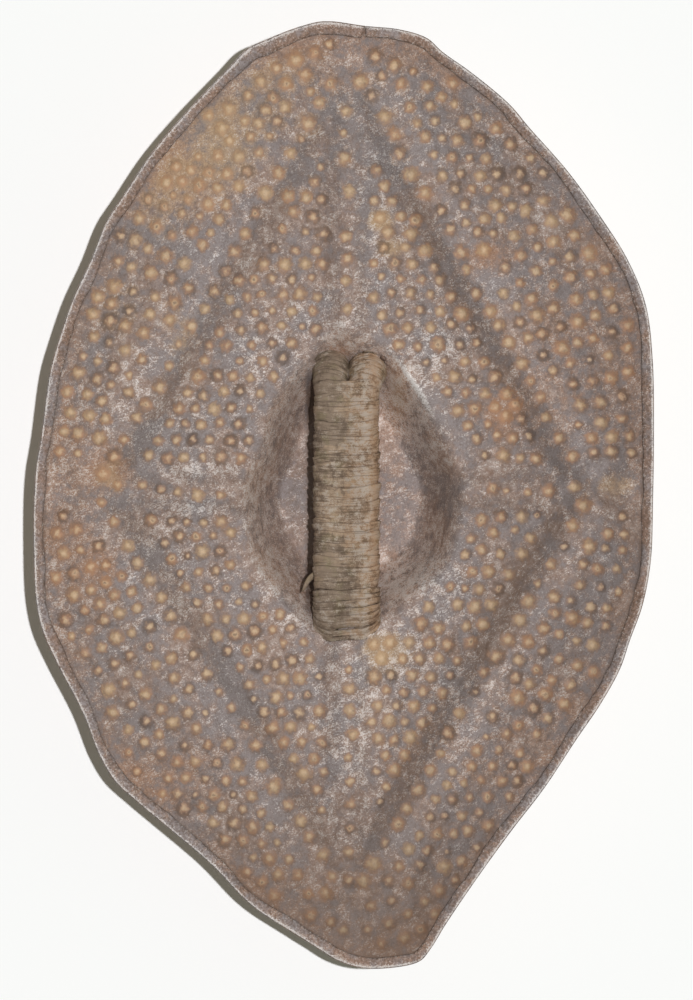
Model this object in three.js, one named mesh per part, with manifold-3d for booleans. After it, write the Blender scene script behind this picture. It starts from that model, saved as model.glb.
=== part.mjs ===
// A hammered iron shield with a grip of two rods bound in hide across its hollow boss.
// Millimetres. +Z runs up the long axis, +X to the holder's right, +Y out through the front of the shield.
// The origin is the middle of the grip, where the hand closes on it.

import * as THREE from 'three';
import { mergeVertices } from 'three/addons/utils/BufferGeometryUtils.js';
import Module from 'manifold-3d';

const wasm = await Module();
wasm.setup();

// Sheet: its outline, thickness and turned edge
const halfWidth = 203;
const halfHeight = 310;
const sheetThickness = 1.6;
const hemWidth = 7;
const hemOpening = 0.9;
const hemSplitWidth = 3;
const hemSplitTip = 1.75;
const hemSplitX = 12;

// Levels of the sheet's back along Y, which grow towards the front
const rimLevel = -35;
const surroundLevel = 2;
const floorLevel = 38;
const dishPower = 1.6;

// Boss: the hollow behind the hand, with shares of the way to its brow where its floor ends and its wall ends
const hollowHalfWidth = 72;
const hollowHalfHeight = 102;
const floorShare = 0.62;
const browShare = 1.04;

// Raised lines: the lozenge, whose corners lie inside the rim, and the cross through them
const lozengeSideInset = 39;
const lozengeTipInset = 30;
const lozengeHalfWidth = halfWidth - lozengeSideInset;
const lozengeHalfHeight = halfHeight - lozengeTipInset;
const ridgeHeight = 5;
const ridgeWidth = 13;
const ridgeFadeShare = 0.8;

// Grip rods: the bar between the bends ends short of the hollow's brow
const rodRadius = 4.5;
const rodSpacing = 21.4;
const topSplay = 3.5;
const topBendInset = 43;
const bottomBendInset = 34;
const barTop = hollowHalfHeight - topBendInset;
const barBottom = hollowHalfHeight - bottomBendInset;
const topBendRadius = 24;
const bottomBendRadius = 24;
const topTilt = 62;
const bottomTilt = 70;
const rivetRadius = 7;
const rivetHeight = 3.2;

// Hide round the rods
const paddingRadius = 8.4;
const thongThickness = 2;
const thongGap = 1.2;
const topThongGap = 1.6;
const thongClearance = 0.7;
const flapLength = 8;
const waistDip = 1.8;
const mainTurns = 20;
const mainOverBend = 12;
const mainShortOfBend = 5;
const mainTop = barTop + mainOverBend;
const mainBottom = mainShortOfBend - barBottom;
const lowerTurns = 2.5;
const topTurns = 2;

// Nail at the upper right of the grip
const nailX = 24;
const nailInset = 14;
const nailZ = hollowHalfHeight - nailInset;
const nailShankRadius = 1.1;
const nailHeadRadius = 2.2;
const nailHeadHeight = 1.2;
const nailHeadTaper = 0.6;

// Gaps: between pieces that touch on the real shield, and past a face that a cut goes through
const seat = 0.3;
const overrun = 6;

// Fineness, and how far the sheet's rays crowd towards the cross
const rays = 88;
const rayCrowding = 0.08;
const samplesPerKnot = 6;
const loopSteps = 24;
const smallLoopSteps = 18;
const barSides = 12;
const rodSegments = 5;
const bendShares = [0, 0.25, 0.5, 0.75, 1];
const gapSamples = 4;
const probe = 0.5;
const tolerance = 1e-9;
const weldDistance = 1e-4;

// The rim, clockwise from the top of the photograph's view, as shares of the half width and half height
const rimShares = [
  [-0.07, 0.995], [0.06, 0.985], [0.175, 0.977], [0.26, 0.959], [0.31, 0.93], [0.4, 0.888],
  [0.525, 0.82], [0.59, 0.77], [0.715, 0.677], [0.825, 0.577], [0.908, 0.49], [0.966, 0.395],
  [0.988, 0.28], [0.992, 0.13], [0.989, -0.02], [0.982, -0.145], [0.956, -0.238], [0.915, -0.313],
  [0.882, -0.375], [0.818, -0.45], [0.74, -0.525], [0.637, -0.627], [0.537, -0.712], [0.427, -0.811],
  [0.32, -0.914], [0.272, -0.965], [0.235, -0.992], [0.12, -1.007], [0.04, -1.005], [-0.03, -0.99],
  [-0.102, -0.961], [-0.185, -0.927], [-0.276, -0.889], [-0.33, -0.86], [-0.437, -0.787], [-0.592, -0.701],
  [-0.676, -0.655], [-0.747, -0.612], [-0.795, -0.56], [-0.85, -0.469], [-0.934, -0.363], [-0.98, -0.296],
  [-1.002, -0.23], [-1.01, -0.112], [-1.005, 0.036], [-0.985, 0.12], [-0.956, 0.258], [-0.927, 0.325],
  [-0.882, 0.41], [-0.824, 0.492], [-0.773, 0.574], [-0.718, 0.629], [-0.627, 0.718], [-0.521, 0.8],
  [-0.382, 0.895], [-0.318, 0.938], [-0.263, 0.955], [-0.15, 0.984],
];

// The brow of the hollow, the same way round, as shares of its half width and half height
const hollowShares = [
  [-0.13, 1.045], [0.03, 1.02], [0.37, 0.91], [0.58, 0.725], [0.8, 0.46], [0.92, 0.27], [1.05, 0.06],
  [1.02, -0.22], [0.91, -0.47], [0.71, -0.61], [0.5, -0.73], [0.25, -0.86], [-0.01, -0.95], [-0.27, -0.91],
  [-0.47, -0.765], [-0.67, -0.62], [-0.84, -0.43], [-0.94, 0.045], [-0.79, 0.27], [-0.7, 0.51],
  [-0.52, 0.745], [-0.3, 0.9],
];

// The lozenge's corners: right, bottom, left, top
const lozengeShares = [[0.985, 0], [0.02, -0.965], [-1.01, 0], [0, 1.02]];

// Rings of the sheet: shares of the way to the hollow's brow, from there to the lozenge, and on to the rim
const hollowRingShares = [0.61, 0.67, 0.74, 0.83, 0.92, 0.98, 1.04, 1.12];
const innerRingShares = [0.3, 0.56, 0.76, 0.87, 0.94, 1];
const outerRingShares = [0.12, 0.3, 0.55, 0.8, 1];

// Closed curves in the X-Z plane

function closedCurve(shares, spanX, spanZ) {
  const knots = shares.map(([x, z]) => new THREE.Vector3(x * spanX, 0, z * spanZ));
  const curve = new THREE.CatmullRomCurve3(knots, true, 'centripetal');
  return curve.getPoints(shares.length * samplesPerKnot).map((point) => [point.x, point.z]);
}

function polygon(shares, spanX, spanZ) {
  const corners = shares.map(([x, z]) => [x * spanX, z * spanZ]);
  return [...corners, corners[0]];
}

// How far a ray from the middle, along (dx, dz), runs before it crosses a closed outline
function reach(outline, dx, dz) {
  let farthest = 0;
  for (let i = 0; i + 1 < outline.length; i += 1) {
    const [ax, az] = outline[i];
    const [bx, bz] = outline[i + 1];
    const across = dx * (bz - az) - dz * (bx - ax);
    const along = (ax * (bz - az) - az * (bx - ax)) / across;
    const share = (ax * dz - az * dx) / across;
    const crosses = along > 0 && share >= -tolerance && share <= 1 + tolerance;
    if (crosses) farthest = Math.max(farthest, along);
  }
  return farthest;
}

function distanceToSegment(x, z, [ax, az], [bx, bz]) {
  const lengthSquared = (bx - ax) ** 2 + (bz - az) ** 2;
  const along = THREE.MathUtils.clamp(((x - ax) * (bx - ax) + (z - az) * (bz - az)) / lengthSquared, 0, 1);
  return Math.hypot(x - ax - along * (bx - ax), z - az - along * (bz - az));
}

const rimOutline = closedCurve(rimShares, halfWidth, halfHeight);
const hollowOutline = closedCurve(hollowShares, hollowHalfWidth, hollowHalfHeight);
const lozengeOutline = polygon(lozengeShares, lozengeHalfWidth, lozengeHalfHeight);

// The sheet's surface

function bump(distance) {
  return Math.exp(-((distance / ridgeWidth) ** 2));
}

// Height of the raised lines, which lean towards the holder
function ridges(x, z) {
  let nearest = Infinity;
  for (let i = 0; i + 1 < lozengeOutline.length; i += 1) {
    nearest = Math.min(nearest, distanceToSegment(x, z, lozengeOutline[i], lozengeOutline[i + 1]));
  }
  return ridgeHeight * Math.max(bump(nearest), bump(x), bump(z));
}

// Y of the sheet's back at a place in the X-Z plane: a dish with raised lines and a flat-floored hollow
function backLevel(x, z) {
  const distance = Math.hypot(x, z);
  if (distance === 0) return floorLevel;
  const dx = x / distance;
  const dz = z / distance;
  const brow = reach(hollowOutline, dx, dz);
  const rim = reach(rimOutline, dx, dz);
  const outward = Math.max(0, (distance - brow) / (rim - brow));
  const dish = surroundLevel + (rimLevel - surroundLevel) * outward ** dishPower;
  const fade = 1 - THREE.MathUtils.smoothstep(outward, ridgeFadeShare, 1);
  const open = dish - ridges(x, z) * fade;
  const depth = 1 - THREE.MathUtils.smoothstep(distance / brow, floorShare, browShare);
  return THREE.MathUtils.lerp(open, floorLevel, depth);
}

// Unit normal of the sheet there, towards the front
function frontNormal(x, z) {
  const slopeX = (backLevel(x + probe, z) - backLevel(x - probe, z)) / (2 * probe);
  const slopeZ = (backLevel(x, z + probe) - backLevel(x, z - probe)) / (2 * probe);
  return new THREE.Vector3(-slopeX, 1, -slopeZ).normalize();
}

// Solids

// One closed surface through rings of as many points each, with a flat cap or a pole at each end
function loft(rings, startPole, endPole) {
  const sides = rings[0].length;
  const corners = rings.flat();
  const index = [];
  for (let ring = 0; ring + 1 < rings.length; ring += 1) {
    for (let side = 0; side < sides; side += 1) {
      const a = ring * sides + side;
      const b = ring * sides + ((side + 1) % sides);
      index.push(a, b, b + sides, a, b + sides, a + sides);
    }
  }
  const first = corners.push(startPole) - 1;
  const last = corners.push(endPole) - 1;
  const lastRing = (rings.length - 1) * sides;
  for (let side = 0; side < sides; side += 1) {
    const next = (side + 1) % sides;
    index.push(first, next, side, last, lastRing + side, lastRing + next);
  }
  const volume = index.reduce((sum, _, i) => {
    if (i % 3) return sum;
    const [a, b, c] = index.slice(i, i + 3).map((corner) => corners[corner]);
    return sum + a.dot(new THREE.Vector3().crossVectors(b, c));
  }, 0);
  if (volume < 0) index.reverse();
  const geometry = new THREE.BufferGeometry().setFromPoints(corners);
  geometry.setIndex(index);
  return geometry;
}

function solid(geometry) {
  const bare = geometry.clone();
  bare.deleteAttribute('normal');
  bare.deleteAttribute('uv');
  const merged = mergeVertices(bare, weldDistance);
  const mesh = new wasm.Mesh({
    numProp: 3,
    vertProperties: merged.attributes.position.array,
    triVerts: new Uint32Array(merged.index.array),
  });
  return new wasm.Manifold(mesh);
}

function geometryOf(manifold) {
  const { vertProperties, triVerts } = manifold.getMesh();
  const geometry = new THREE.BufferGeometry();
  geometry.setAttribute('position', new THREE.BufferAttribute(new Float32Array(vertProperties), 3));
  geometry.setIndex(new THREE.BufferAttribute(new Uint32Array(triVerts), 1));
  geometry.computeVertexNormals();
  return geometry;
}

// A tapering round bar along a direction, from one place to another
function bar(from, to, radius, toRadius = radius) {
  const span = new THREE.Vector3().subVectors(to, from);
  const geometry = new THREE.CylinderGeometry(toRadius, radius, span.length(), barSides);
  const upright = new THREE.Vector3(0, 1, 0);
  const turn = new THREE.Quaternion().setFromUnitVectors(upright, span.clone().normalize());
  geometry.applyQuaternion(turn);
  geometry.translate(...new THREE.Vector3().addVectors(from, to).multiplyScalar(0.5).toArray());
  return geometry;
}

// The sheet: rings on its back, round the turned edge, then the same rings on its front

function ringDistances(dx, dz) {
  const brow = reach(hollowOutline, dx, dz);
  const corner = reach(lozengeOutline, dx, dz);
  const fold = reach(rimOutline, dx, dz) - sheetThickness;
  const { lerp } = THREE.MathUtils;
  const lastHollow = brow * hollowRingShares[hollowRingShares.length - 1];
  return [
    ...hollowRingShares.map((share) => brow * share),
    ...innerRingShares.map((share) => lerp(lastHollow, corner, share)),
    ...outerRingShares.map((share) => lerp(corner, fold, share)),
  ];
}

function onBack(dx, dz, distance) {
  return new THREE.Vector3(dx * distance, backLevel(dx * distance, dz * distance), dz * distance);
}

function onFront(dx, dz, distance) {
  const place = onBack(dx, dz, distance);
  return place.addScaledVector(frontNormal(place.x, place.z), sheetThickness);
}

// The turned edge in section, from the inside of the fold: under the hem, over it and round the outside
function hemSection(dx, dz) {
  const rim = reach(rimOutline, dx, dz);
  const under = onBack(dx, dz, rim - hemWidth);
  under.y -= hemOpening;
  const top = under.clone();
  top.y -= sheetThickness;
  const shoulder = onBack(dx, dz, rim - sheetThickness / 2);
  shoulder.y -= sheetThickness;
  return [under, top, shoulder, onBack(dx, dz, rim)];
}

// Directions of the rays, which lie closer together beside the raised cross
function rayDirections() {
  return Array.from({ length: rays }, (_, ray) => {
    const even = (2 * Math.PI * ray) / rays;
    const angle = even - rayCrowding * Math.sin(4 * even);
    return [Math.cos(angle), Math.sin(angle)];
  });
}

function sheet() {
  const spokes = rayDirections().map(([dx, dz]) => {
    const distances = ringDistances(dx, dz);
    const back = distances.map((distance) => onBack(dx, dz, distance));
    const front = distances.map((distance) => onFront(dx, dz, distance)).reverse();
    return [...back, ...hemSection(dx, dz), ...front];
  });
  const rings = spokes[0].map((_, ring) => spokes.map((spoke) => spoke[ring]));
  const middle = new THREE.Vector3(0, floorLevel, 0);
  return loft(rings, middle, middle.clone().setY(floorLevel + sheetThickness));
}

// The space in front of the sheet, or behind it, round the hollow: what seats on the sheet is cut by it
function besideSheet(inFront) {
  const far = new THREE.Vector3(0, inFront ? floorLevel + halfWidth : rimLevel - halfWidth, 0);
  const count = hollowRingShares.length + innerRingShares.length;
  const spokes = rayDirections().map(([dx, dz]) => {
    const distances = ringDistances(dx, dz).slice(0, count);
    const places = distances.map((distance) => {
      const place = inFront ? onBack(dx, dz, distance) : onFront(dx, dz, distance);
      return place.addScaledVector(frontNormal(place.x, place.z), inFront ? -seat : seat);
    });
    return [...places, places[count - 1].clone().setY(far.y)];
  });
  const rings = spokes[0].map((_, ring) => spokes.map((spoke) => spoke[ring]));
  const middle = new THREE.Vector3(0, inFront ? floorLevel - seat : floorLevel + sheetThickness + seat, 0);
  return loft(rings, middle, far);
}

// The split in the hem at the top, a wedge that is widest at the hem's inner edge
function hemSplit() {
  const rim = reach(rimOutline, hemSplitX / halfHeight, 1);
  const inner = rim - hemWidth - sheetThickness;
  const places = [
    [hemSplitX - hemSplitWidth / 2, inner],
    [hemSplitX + hemSplitWidth / 2, inner],
    [hemSplitX, rim - hemSplitTip],
  ];
  const near = places.map(([x, z]) => new THREE.Vector3(x, backLevel(x, z) - seat, z));
  const far = near.map((corner) => corner.clone().setY(corner.y - overrun));
  const middle = (corners) => corners.reduce((sum, corner) => sum.add(corner), new THREE.Vector3())
    .divideScalar(corners.length);
  return loft([near, far], middle(near), middle(far));
}

// The grip's line: straight along the bar and bent at both ends towards the sheet

// Place, direction and holder's side at a length along the grip, measured up from its middle
function gripFrame(length) {
  const up = length >= 0;
  const sign = up ? 1 : -1;
  const straight = up ? barTop : barBottom;
  const radius = up ? topBendRadius : bottomBendRadius;
  const tilt = THREE.MathUtils.degToRad(up ? topTilt : bottomTilt);
  const past = Math.max(0, Math.abs(length) - straight);
  const turned = Math.min(past / radius, tilt);
  const leg = Math.max(0, past - radius * tilt);
  const sine = Math.sin(turned);
  const cosine = Math.cos(turned);
  const y = radius * (1 - cosine) + leg * sine;
  const z = sign * (Math.min(Math.abs(length), straight) + radius * sine + leg * cosine);
  return {
    place: new THREE.Vector3(0, y, z),
    along: new THREE.Vector3(0, sign * sine, cosine),
    holder: new THREE.Vector3(0, -cosine, sign * sine),
  };
}

// X of a rod there: side is -1 for the left rod and 1 for the right one, which leans out at its top
function rodX(side, length) {
  const lean = side > 0 ? topSplay * THREE.MathUtils.smoothstep(length, barTop, barTop + topBendRadius) : 0;
  return (side * rodSpacing) / 2 + lean;
}

function rodPlace(side, length) {
  return gripFrame(length).place.setX(rodX(side, length));
}

// Whether a round disc square to the rod lies wholly behind the sheet, or wholly in front of it
function discClears(side, length, radius, inFront) {
  const { holder } = gripFrame(length);
  const centre = rodPlace(side, length);
  for (let step = 0; step < loopSteps; step += 1) {
    const angle = (2 * Math.PI * step) / loopSteps;
    const rim = centre.clone().addScaledVector(holder, radius * Math.sin(angle));
    rim.x += radius * Math.cos(angle);
    const back = backLevel(rim.x, rim.z);
    const front = back + sheetThickness / frontNormal(rim.x, rim.z).y;
    if (inFront ? rim.y < front + seat : rim.y > back - seat) return false;
  }
  return true;
}

// Length along a rod at which a disc last clears the back of the sheet, going up or down from the bar
function seatOf(side, end, radius) {
  let length = end > 0 ? barTop : -barBottom;
  while (discClears(side, length + end * seat, radius, false)) length += end * seat;
  return length;
}

// Length at which a disc first clears the front
function exitOf(side, end, radius) {
  let length = seatOf(side, end, rodRadius);
  while (!discClears(side, length, radius, true)) length += end * seat;
  return length;
}

// A curve whose stations lie only where the grip bends
class RodPath extends THREE.Curve {
  constructor(side, from, to) {
    super();
    const bottomArc = bottomBendRadius * THREE.MathUtils.degToRad(bottomTilt);
    const topArc = topBendRadius * THREE.MathUtils.degToRad(topTilt);
    const lengths = [
      from,
      ...bendShares.map((share) => -barBottom - bottomArc * (1 - share)),
      ...bendShares.map((share) => barTop + topArc * share),
      to,
    ];
    this.stations = lengths
      .filter((length) => length >= from && length <= to)
      .map((length) => rodPlace(side, length));
  }

  get steps() {
    return this.stations.length - 1;
  }

  getPoint(share, target = new THREE.Vector3()) {
    const place = THREE.MathUtils.clamp(share, 0, 1) * this.steps;
    const station = Math.min(Math.floor(place), this.steps - 1);
    return target.lerpVectors(this.stations[station], this.stations[station + 1], place - station);
  }

  // Stations are spread by count and not by length
  getUtoTmapping(share) {
    return share;
  }
}

function roundRod(path, radius, bore) {
  const section = new THREE.Shape().absarc(0, 0, radius, 0, 2 * Math.PI);
  if (bore) section.holes.push(new THREE.Path().absarc(0, 0, bore, 0, 2 * Math.PI, true));
  const options = { steps: path.steps, extrudePath: path, curveSegments: rodSegments };
  return new THREE.ExtrudeGeometry(section, options);
}

// Iron rods with a riveted head at each end, on the front of the sheet

function rivetHead(side, end) {
  const base = exitOf(side, end, rodRadius);
  const crown = rodPlace(side, base + end * rivetHeight);
  const girth = rodPlace(side, base);
  const inside = rodPlace(side, base - end * rivetRadius);
  const dome = solid(bar(girth, crown, rivetRadius, rivetRadius / 2));
  const skirt = solid(bar(inside, girth, rivetRadius));
  return dome.add(skirt).subtract(solid(besideSheet(false)));
}

function gripRod(side) {
  const top = exitOf(side, 1, rodRadius) + rivetHeight / 2;
  const bottom = exitOf(side, -1, rodRadius) - rivetHeight / 2;
  const shaft = solid(roundRod(new RodPath(side, bottom, top), rodRadius));
  return geometryOf(shaft.add(rivetHead(side, 1)).add(rivetHead(side, -1)));
}

// Hide round a rod, cut off where it meets the back of the sheet
function padding(side) {
  const bottom = seatOf(side, -1, rodRadius) - paddingRadius;
  const top = seatOf(side, 1, rodRadius) + paddingRadius;
  const sleeve = roundRod(new RodPath(side, bottom, top), paddingRadius, rodRadius + seat);
  return geometryOf(solid(sleeve).subtract(solid(besideSheet(true))));
}

// Hide thong

const coilRadius = paddingRadius + thongClearance + thongThickness / 2;
const halfLoop = loopSteps / 2;
const roundSteps = (halfLoop * 3) / 4;

// A turn round both rods, from the underside of the right rod: three quarters of its steps go round the rods
function pairTurn(step, length) {
  const left = rodX(-1, length);
  const right = rodX(1, length);
  const at = step % loopSteps;
  const onRight = at < halfLoop;
  const within = onRight ? at : at - halfLoop;
  if (within <= roundSteps) {
    const angle = (Math.PI * within) / roundSteps - (onRight ? Math.PI / 2 : -Math.PI / 2);
    return [(onRight ? right : left) + coilRadius * Math.cos(angle), coilRadius * Math.sin(angle)];
  }
  const share = (within - roundSteps) / (halfLoop - roundSteps);
  const across = THREE.MathUtils.lerp(onRight ? right : left, onRight ? left : right, share);
  const rise = coilRadius - waistDip * Math.sin(Math.PI * share);
  return [across, onRight ? rise : -rise];
}

// A turn round one rod, from its underside
function singleTurn(side) {
  return (step, length) => {
    const angle = (2 * Math.PI * step) / smallLoopSteps - Math.PI / 2;
    return [rodX(side, length) + coilRadius * Math.cos(angle), coilRadius * Math.sin(angle)];
  };
}

// The thong's width, where its turns fill a stretch of the grip with the same gap between them
function thongWidth({ turns, from, to, gap }) {
  return (Math.abs(to - from) - turns * gap) / (turns + 1);
}

// A place off the grip's line, towards the holder
function offGrip(length, rise) {
  const { place, holder } = gripFrame(length);
  return place.addScaledVector(holder, rise);
}

// Places of the thong's middle, each with the share of its width that a bend leaves it room for
function thongPlaces(coil) {
  const { turn, steps, firstStep, turns, from, to } = coil;
  const count = Math.round(turns * steps);
  const width = thongWidth(coil);
  const inset = (Math.sign(to - from) * width) / 2;
  const halfPitch = (width + coil.gap) / 2;
  return Array.from({ length: count + 1 }, (_, i) => {
    const length = THREE.MathUtils.lerp(from + inset, to - inset, i / count);
    const [across, rise] = turn(firstStep + i, length);
    const spread = offGrip(length + halfPitch, rise).distanceTo(offGrip(length - halfPitch, rise));
    const place = offGrip(length, rise).setX(across);
    return { place, along: gripFrame(length).along, room: spread / halfPitch / 2 };
  });
}

// A straight run at an end of the thong
function straightEnd(places, end, length) {
  const [last, before] = end > 0 ? places.slice(-2).reverse() : places.slice(0, 2);
  const run = new THREE.Vector3().subVectors(last.place, before.place).normalize().multiplyScalar(length);
  return { ...last, place: last.place.clone().add(run) };
}

// The thong's flattened section, as shares of its width and thickness
const thongShares = [[-0.5, 0], [-0.36, -0.5], [0.36, -0.5], [0.5, 0], [0.36, 0.5], [-0.36, 0.5]];

function thongRings(places, width) {
  return places.map(({ place, along, room }, i) => {
    const next = places[Math.min(i + 1, places.length - 1)].place;
    const before = places[Math.max(i - 1, 0)].place;
    const run = new THREE.Vector3().subVectors(next, before).normalize();
    const across = along.clone().addScaledVector(run, -along.dot(run)).normalize();
    const out = new THREE.Vector3().crossVectors(run, across);
    return thongShares.map(([share, rise]) => place.clone()
      .addScaledVector(across, share * width * room)
      .addScaledVector(out, rise * thongThickness));
  });
}

// The least gap between turns that lie over half a turn apart, measured between points along their edges
function leastGap(rings, steps) {
  const dense = rings.map((ring, i) => {
    const next = rings[Math.min(i + 1, rings.length - 1)];
    return ring.flatMap((corner, side) => Array.from({ length: gapSamples }, (_, part) => (
      corner.clone().lerp(next[side], part / gapSamples)
    )));
  });
  let least = Infinity;
  for (let i = 0; i < dense.length; i += 1) {
    for (let j = i + Math.floor(steps / 2); j < Math.min(dense.length, i + 2 * steps); j += 1) {
      for (const a of dense[i]) {
        for (const b of dense[j]) least = Math.min(least, a.distanceTo(b));
      }
    }
  }
  return least;
}

function thong(name, coil) {
  const places = thongPlaces(coil);
  if (coil.startRun) places.unshift(straightEnd(places, -1, coil.startRun));
  if (coil.endRun) places.push(straightEnd(places, 1, coil.endRun));
  const rings = thongRings(places, thongWidth(coil));
  console.log(`${name}: least gap to itself ${leastGap(rings, coil.steps).toFixed(2)} mm`);
  return loft(rings, places[0].place, places[places.length - 1].place);
}

// Step of a turn that lies in the middle of the underside, where an end is hidden
const hiddenStep = loopSteps - 2;

// The main thong: its lower end runs straight out past the left rod, as a flap
function mainCoil() {
  return {
    turn: pairTurn,
    steps: loopSteps,
    firstStep: hiddenStep,
    turns: mainTurns - (hiddenStep - halfLoop) / loopSteps,
    from: mainTop,
    to: mainBottom,
    gap: thongGap,
    endRun: coilRadius + flapLength,
  };
}

// The broad turns at the bottom, which start beside the main thong's end
function lowerCoil() {
  const girth = coilRadius + thongThickness / 2;
  return {
    turn: pairTurn,
    steps: loopSteps,
    firstStep: hiddenStep,
    turns: lowerTurns,
    from: mainBottom + (mainTop - mainBottom) / mainTurns / 2 - thongGap,
    to: Math.max(seatOf(-1, -1, girth), seatOf(1, -1, girth)),
    gap: thongGap,
  };
}

// The turns round one rod alone at the top
function topCoil(side) {
  const coil = {
    turn: singleTurn(side),
    steps: smallLoopSteps,
    firstStep: 0,
    turns: topTurns,
    from: mainTop + thongGap,
    to: seatOf(side, 1, coilRadius + thongThickness / 2),
    gap: topThongGap,
  };
  return { ...coil, startRun: thongWidth(coil), endRun: thongWidth(coil) };
}

// A nail through the sheet: its head on the back and its point bent flat on the front
function nail() {
  const seatPlace = new THREE.Vector3(nailX, backLevel(nailX, nailZ), nailZ);
  const normal = frontNormal(nailX, nailZ);
  const at = (distance) => seatPlace.clone().addScaledVector(normal, distance);
  const head = bar(at(-seat - nailHeadHeight), at(-seat), nailHeadRadius * nailHeadTaper, nailHeadRadius);
  const shank = bar(at(-seat - nailHeadHeight / 2), at(sheetThickness + nailHeadHeight), nailShankRadius);
  return geometryOf(solid(head).add(solid(shank)));
}

function nailHole() {
  const place = new THREE.Vector3(nailX, backLevel(nailX, nailZ), nailZ);
  const normal = frontNormal(nailX, nailZ);
  const from = place.clone().addScaledVector(normal, -overrun);
  return bar(from, place.addScaledVector(normal, overrun), nailShankRadius + seat);
}

// The room that a rod needs where it goes through the sheet at both ends
function rodRoom(side) {
  const bottom = exitOf(side, -1, rodRadius) - overrun;
  const top = exitOf(side, 1, rodRadius) + overrun;
  return roundRod(new RodPath(side, bottom, top), rodRadius + seat);
}

function shieldPlate() {
  const cuts = [hemSplit(), nailHole(), rodRoom(-1), rodRoom(1)];
  return geometryOf(cuts.reduce((plate, cut) => plate.subtract(solid(cut)), solid(sheet())));
}

// Materials

const hammeredIron = { color: 0x877a78, roughness: 0.62, metalness: 0.75 };
const darkIron = { color: 0x5c504a, roughness: 0.7, metalness: 0.7 };
const hide = { color: 0x7d6e5a, roughness: 0.85, metalness: 0 };
const oldHide = { color: 0x6b5a47, roughness: 0.9, metalness: 0 };

function piece(name, geometry, finish) {
  const mesh = new THREE.Mesh(geometry, new THREE.MeshStandardMaterial(finish));
  mesh.name = name;
  return mesh;
}

const shield = new THREE.Group();
shield.name = 'iron_shield';
shield.add(
  piece('shield_plate', shieldPlate(), hammeredIron),
  piece('left_grip_rod', gripRod(-1), darkIron),
  piece('right_grip_rod', gripRod(1), darkIron),
  piece('left_rod_padding', padding(-1), oldHide),
  piece('right_rod_padding', padding(1), oldHide),
  piece('grip_winding', thong('grip_winding', mainCoil()), hide),
  piece('lower_winding', thong('lower_winding', lowerCoil()), hide),
  piece('left_top_wrap', thong('left_top_wrap', topCoil(-1)), hide),
  piece('right_top_wrap', thong('right_top_wrap', topCoil(1)), hide),
  piece('grip_nail', nail(), darkIron),
);

export default shield;
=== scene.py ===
"""A hammered iron shield with a hide-bound grip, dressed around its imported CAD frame.

Metres. +Z runs up the long axis, +X to the holder's right and +Y out through the front, so the holder's side,
which the camera sees, faces -Y. The origin is the middle of the grip.
"""

import math

import bpy
import numpy as np
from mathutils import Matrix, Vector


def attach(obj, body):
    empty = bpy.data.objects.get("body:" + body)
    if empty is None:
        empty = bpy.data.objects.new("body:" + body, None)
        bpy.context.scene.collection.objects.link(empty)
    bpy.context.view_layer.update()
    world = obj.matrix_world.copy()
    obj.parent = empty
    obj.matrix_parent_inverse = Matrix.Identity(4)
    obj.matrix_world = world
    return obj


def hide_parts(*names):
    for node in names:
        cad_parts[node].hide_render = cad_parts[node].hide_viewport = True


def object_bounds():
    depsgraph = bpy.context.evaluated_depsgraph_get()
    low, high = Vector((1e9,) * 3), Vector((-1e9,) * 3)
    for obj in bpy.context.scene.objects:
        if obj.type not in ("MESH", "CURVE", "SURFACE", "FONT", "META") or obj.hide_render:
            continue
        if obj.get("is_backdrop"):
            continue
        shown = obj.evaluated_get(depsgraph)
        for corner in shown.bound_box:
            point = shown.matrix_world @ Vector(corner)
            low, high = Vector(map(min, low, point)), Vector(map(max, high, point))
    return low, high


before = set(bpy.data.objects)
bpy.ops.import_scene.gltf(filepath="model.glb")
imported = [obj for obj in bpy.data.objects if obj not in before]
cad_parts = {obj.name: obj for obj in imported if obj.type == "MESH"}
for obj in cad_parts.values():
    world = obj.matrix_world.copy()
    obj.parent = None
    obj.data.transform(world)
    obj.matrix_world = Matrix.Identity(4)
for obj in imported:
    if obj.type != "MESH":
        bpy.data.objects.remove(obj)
CAD_LOW, CAD_HIGH = (np.array(corner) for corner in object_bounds())

bl_info = {
    "name": "Hammered iron shield",
    "version": (1, 0, 0),
    "blender": (4, 5, 0),
    "location": "View3D > Sidebar > Iron shield",
    "description": "Makes a hammered iron shield with a hide-bound grip, piece by piece",
    "category": "Add Mesh",
}

MM = 0.001

# Levels and spans of the sheet, as in the solids
HALF_WIDTH = 203 * MM
HALF_HEIGHT = 310 * MM
RIM_LEVEL = -35 * MM
SURROUND_LEVEL = 2 * MM
FLOOR_LEVEL = 38 * MM
HOLLOW_HALF_WIDTH = 72 * MM
HOLLOW_HALF_HEIGHT = 102 * MM
LOZENGE_HALF_WIDTH = 164 * MM
LOZENGE_HALF_HEIGHT = 280 * MM
RIDGE_HEIGHT = 5 * MM
RIDGE_WIDTH = 13 * MM
DISH_POWER = 1.6
RIDGE_FADE = 0.8
FLOOR_SHARE = 0.62
BROW_SHARE = 1.04

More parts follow.
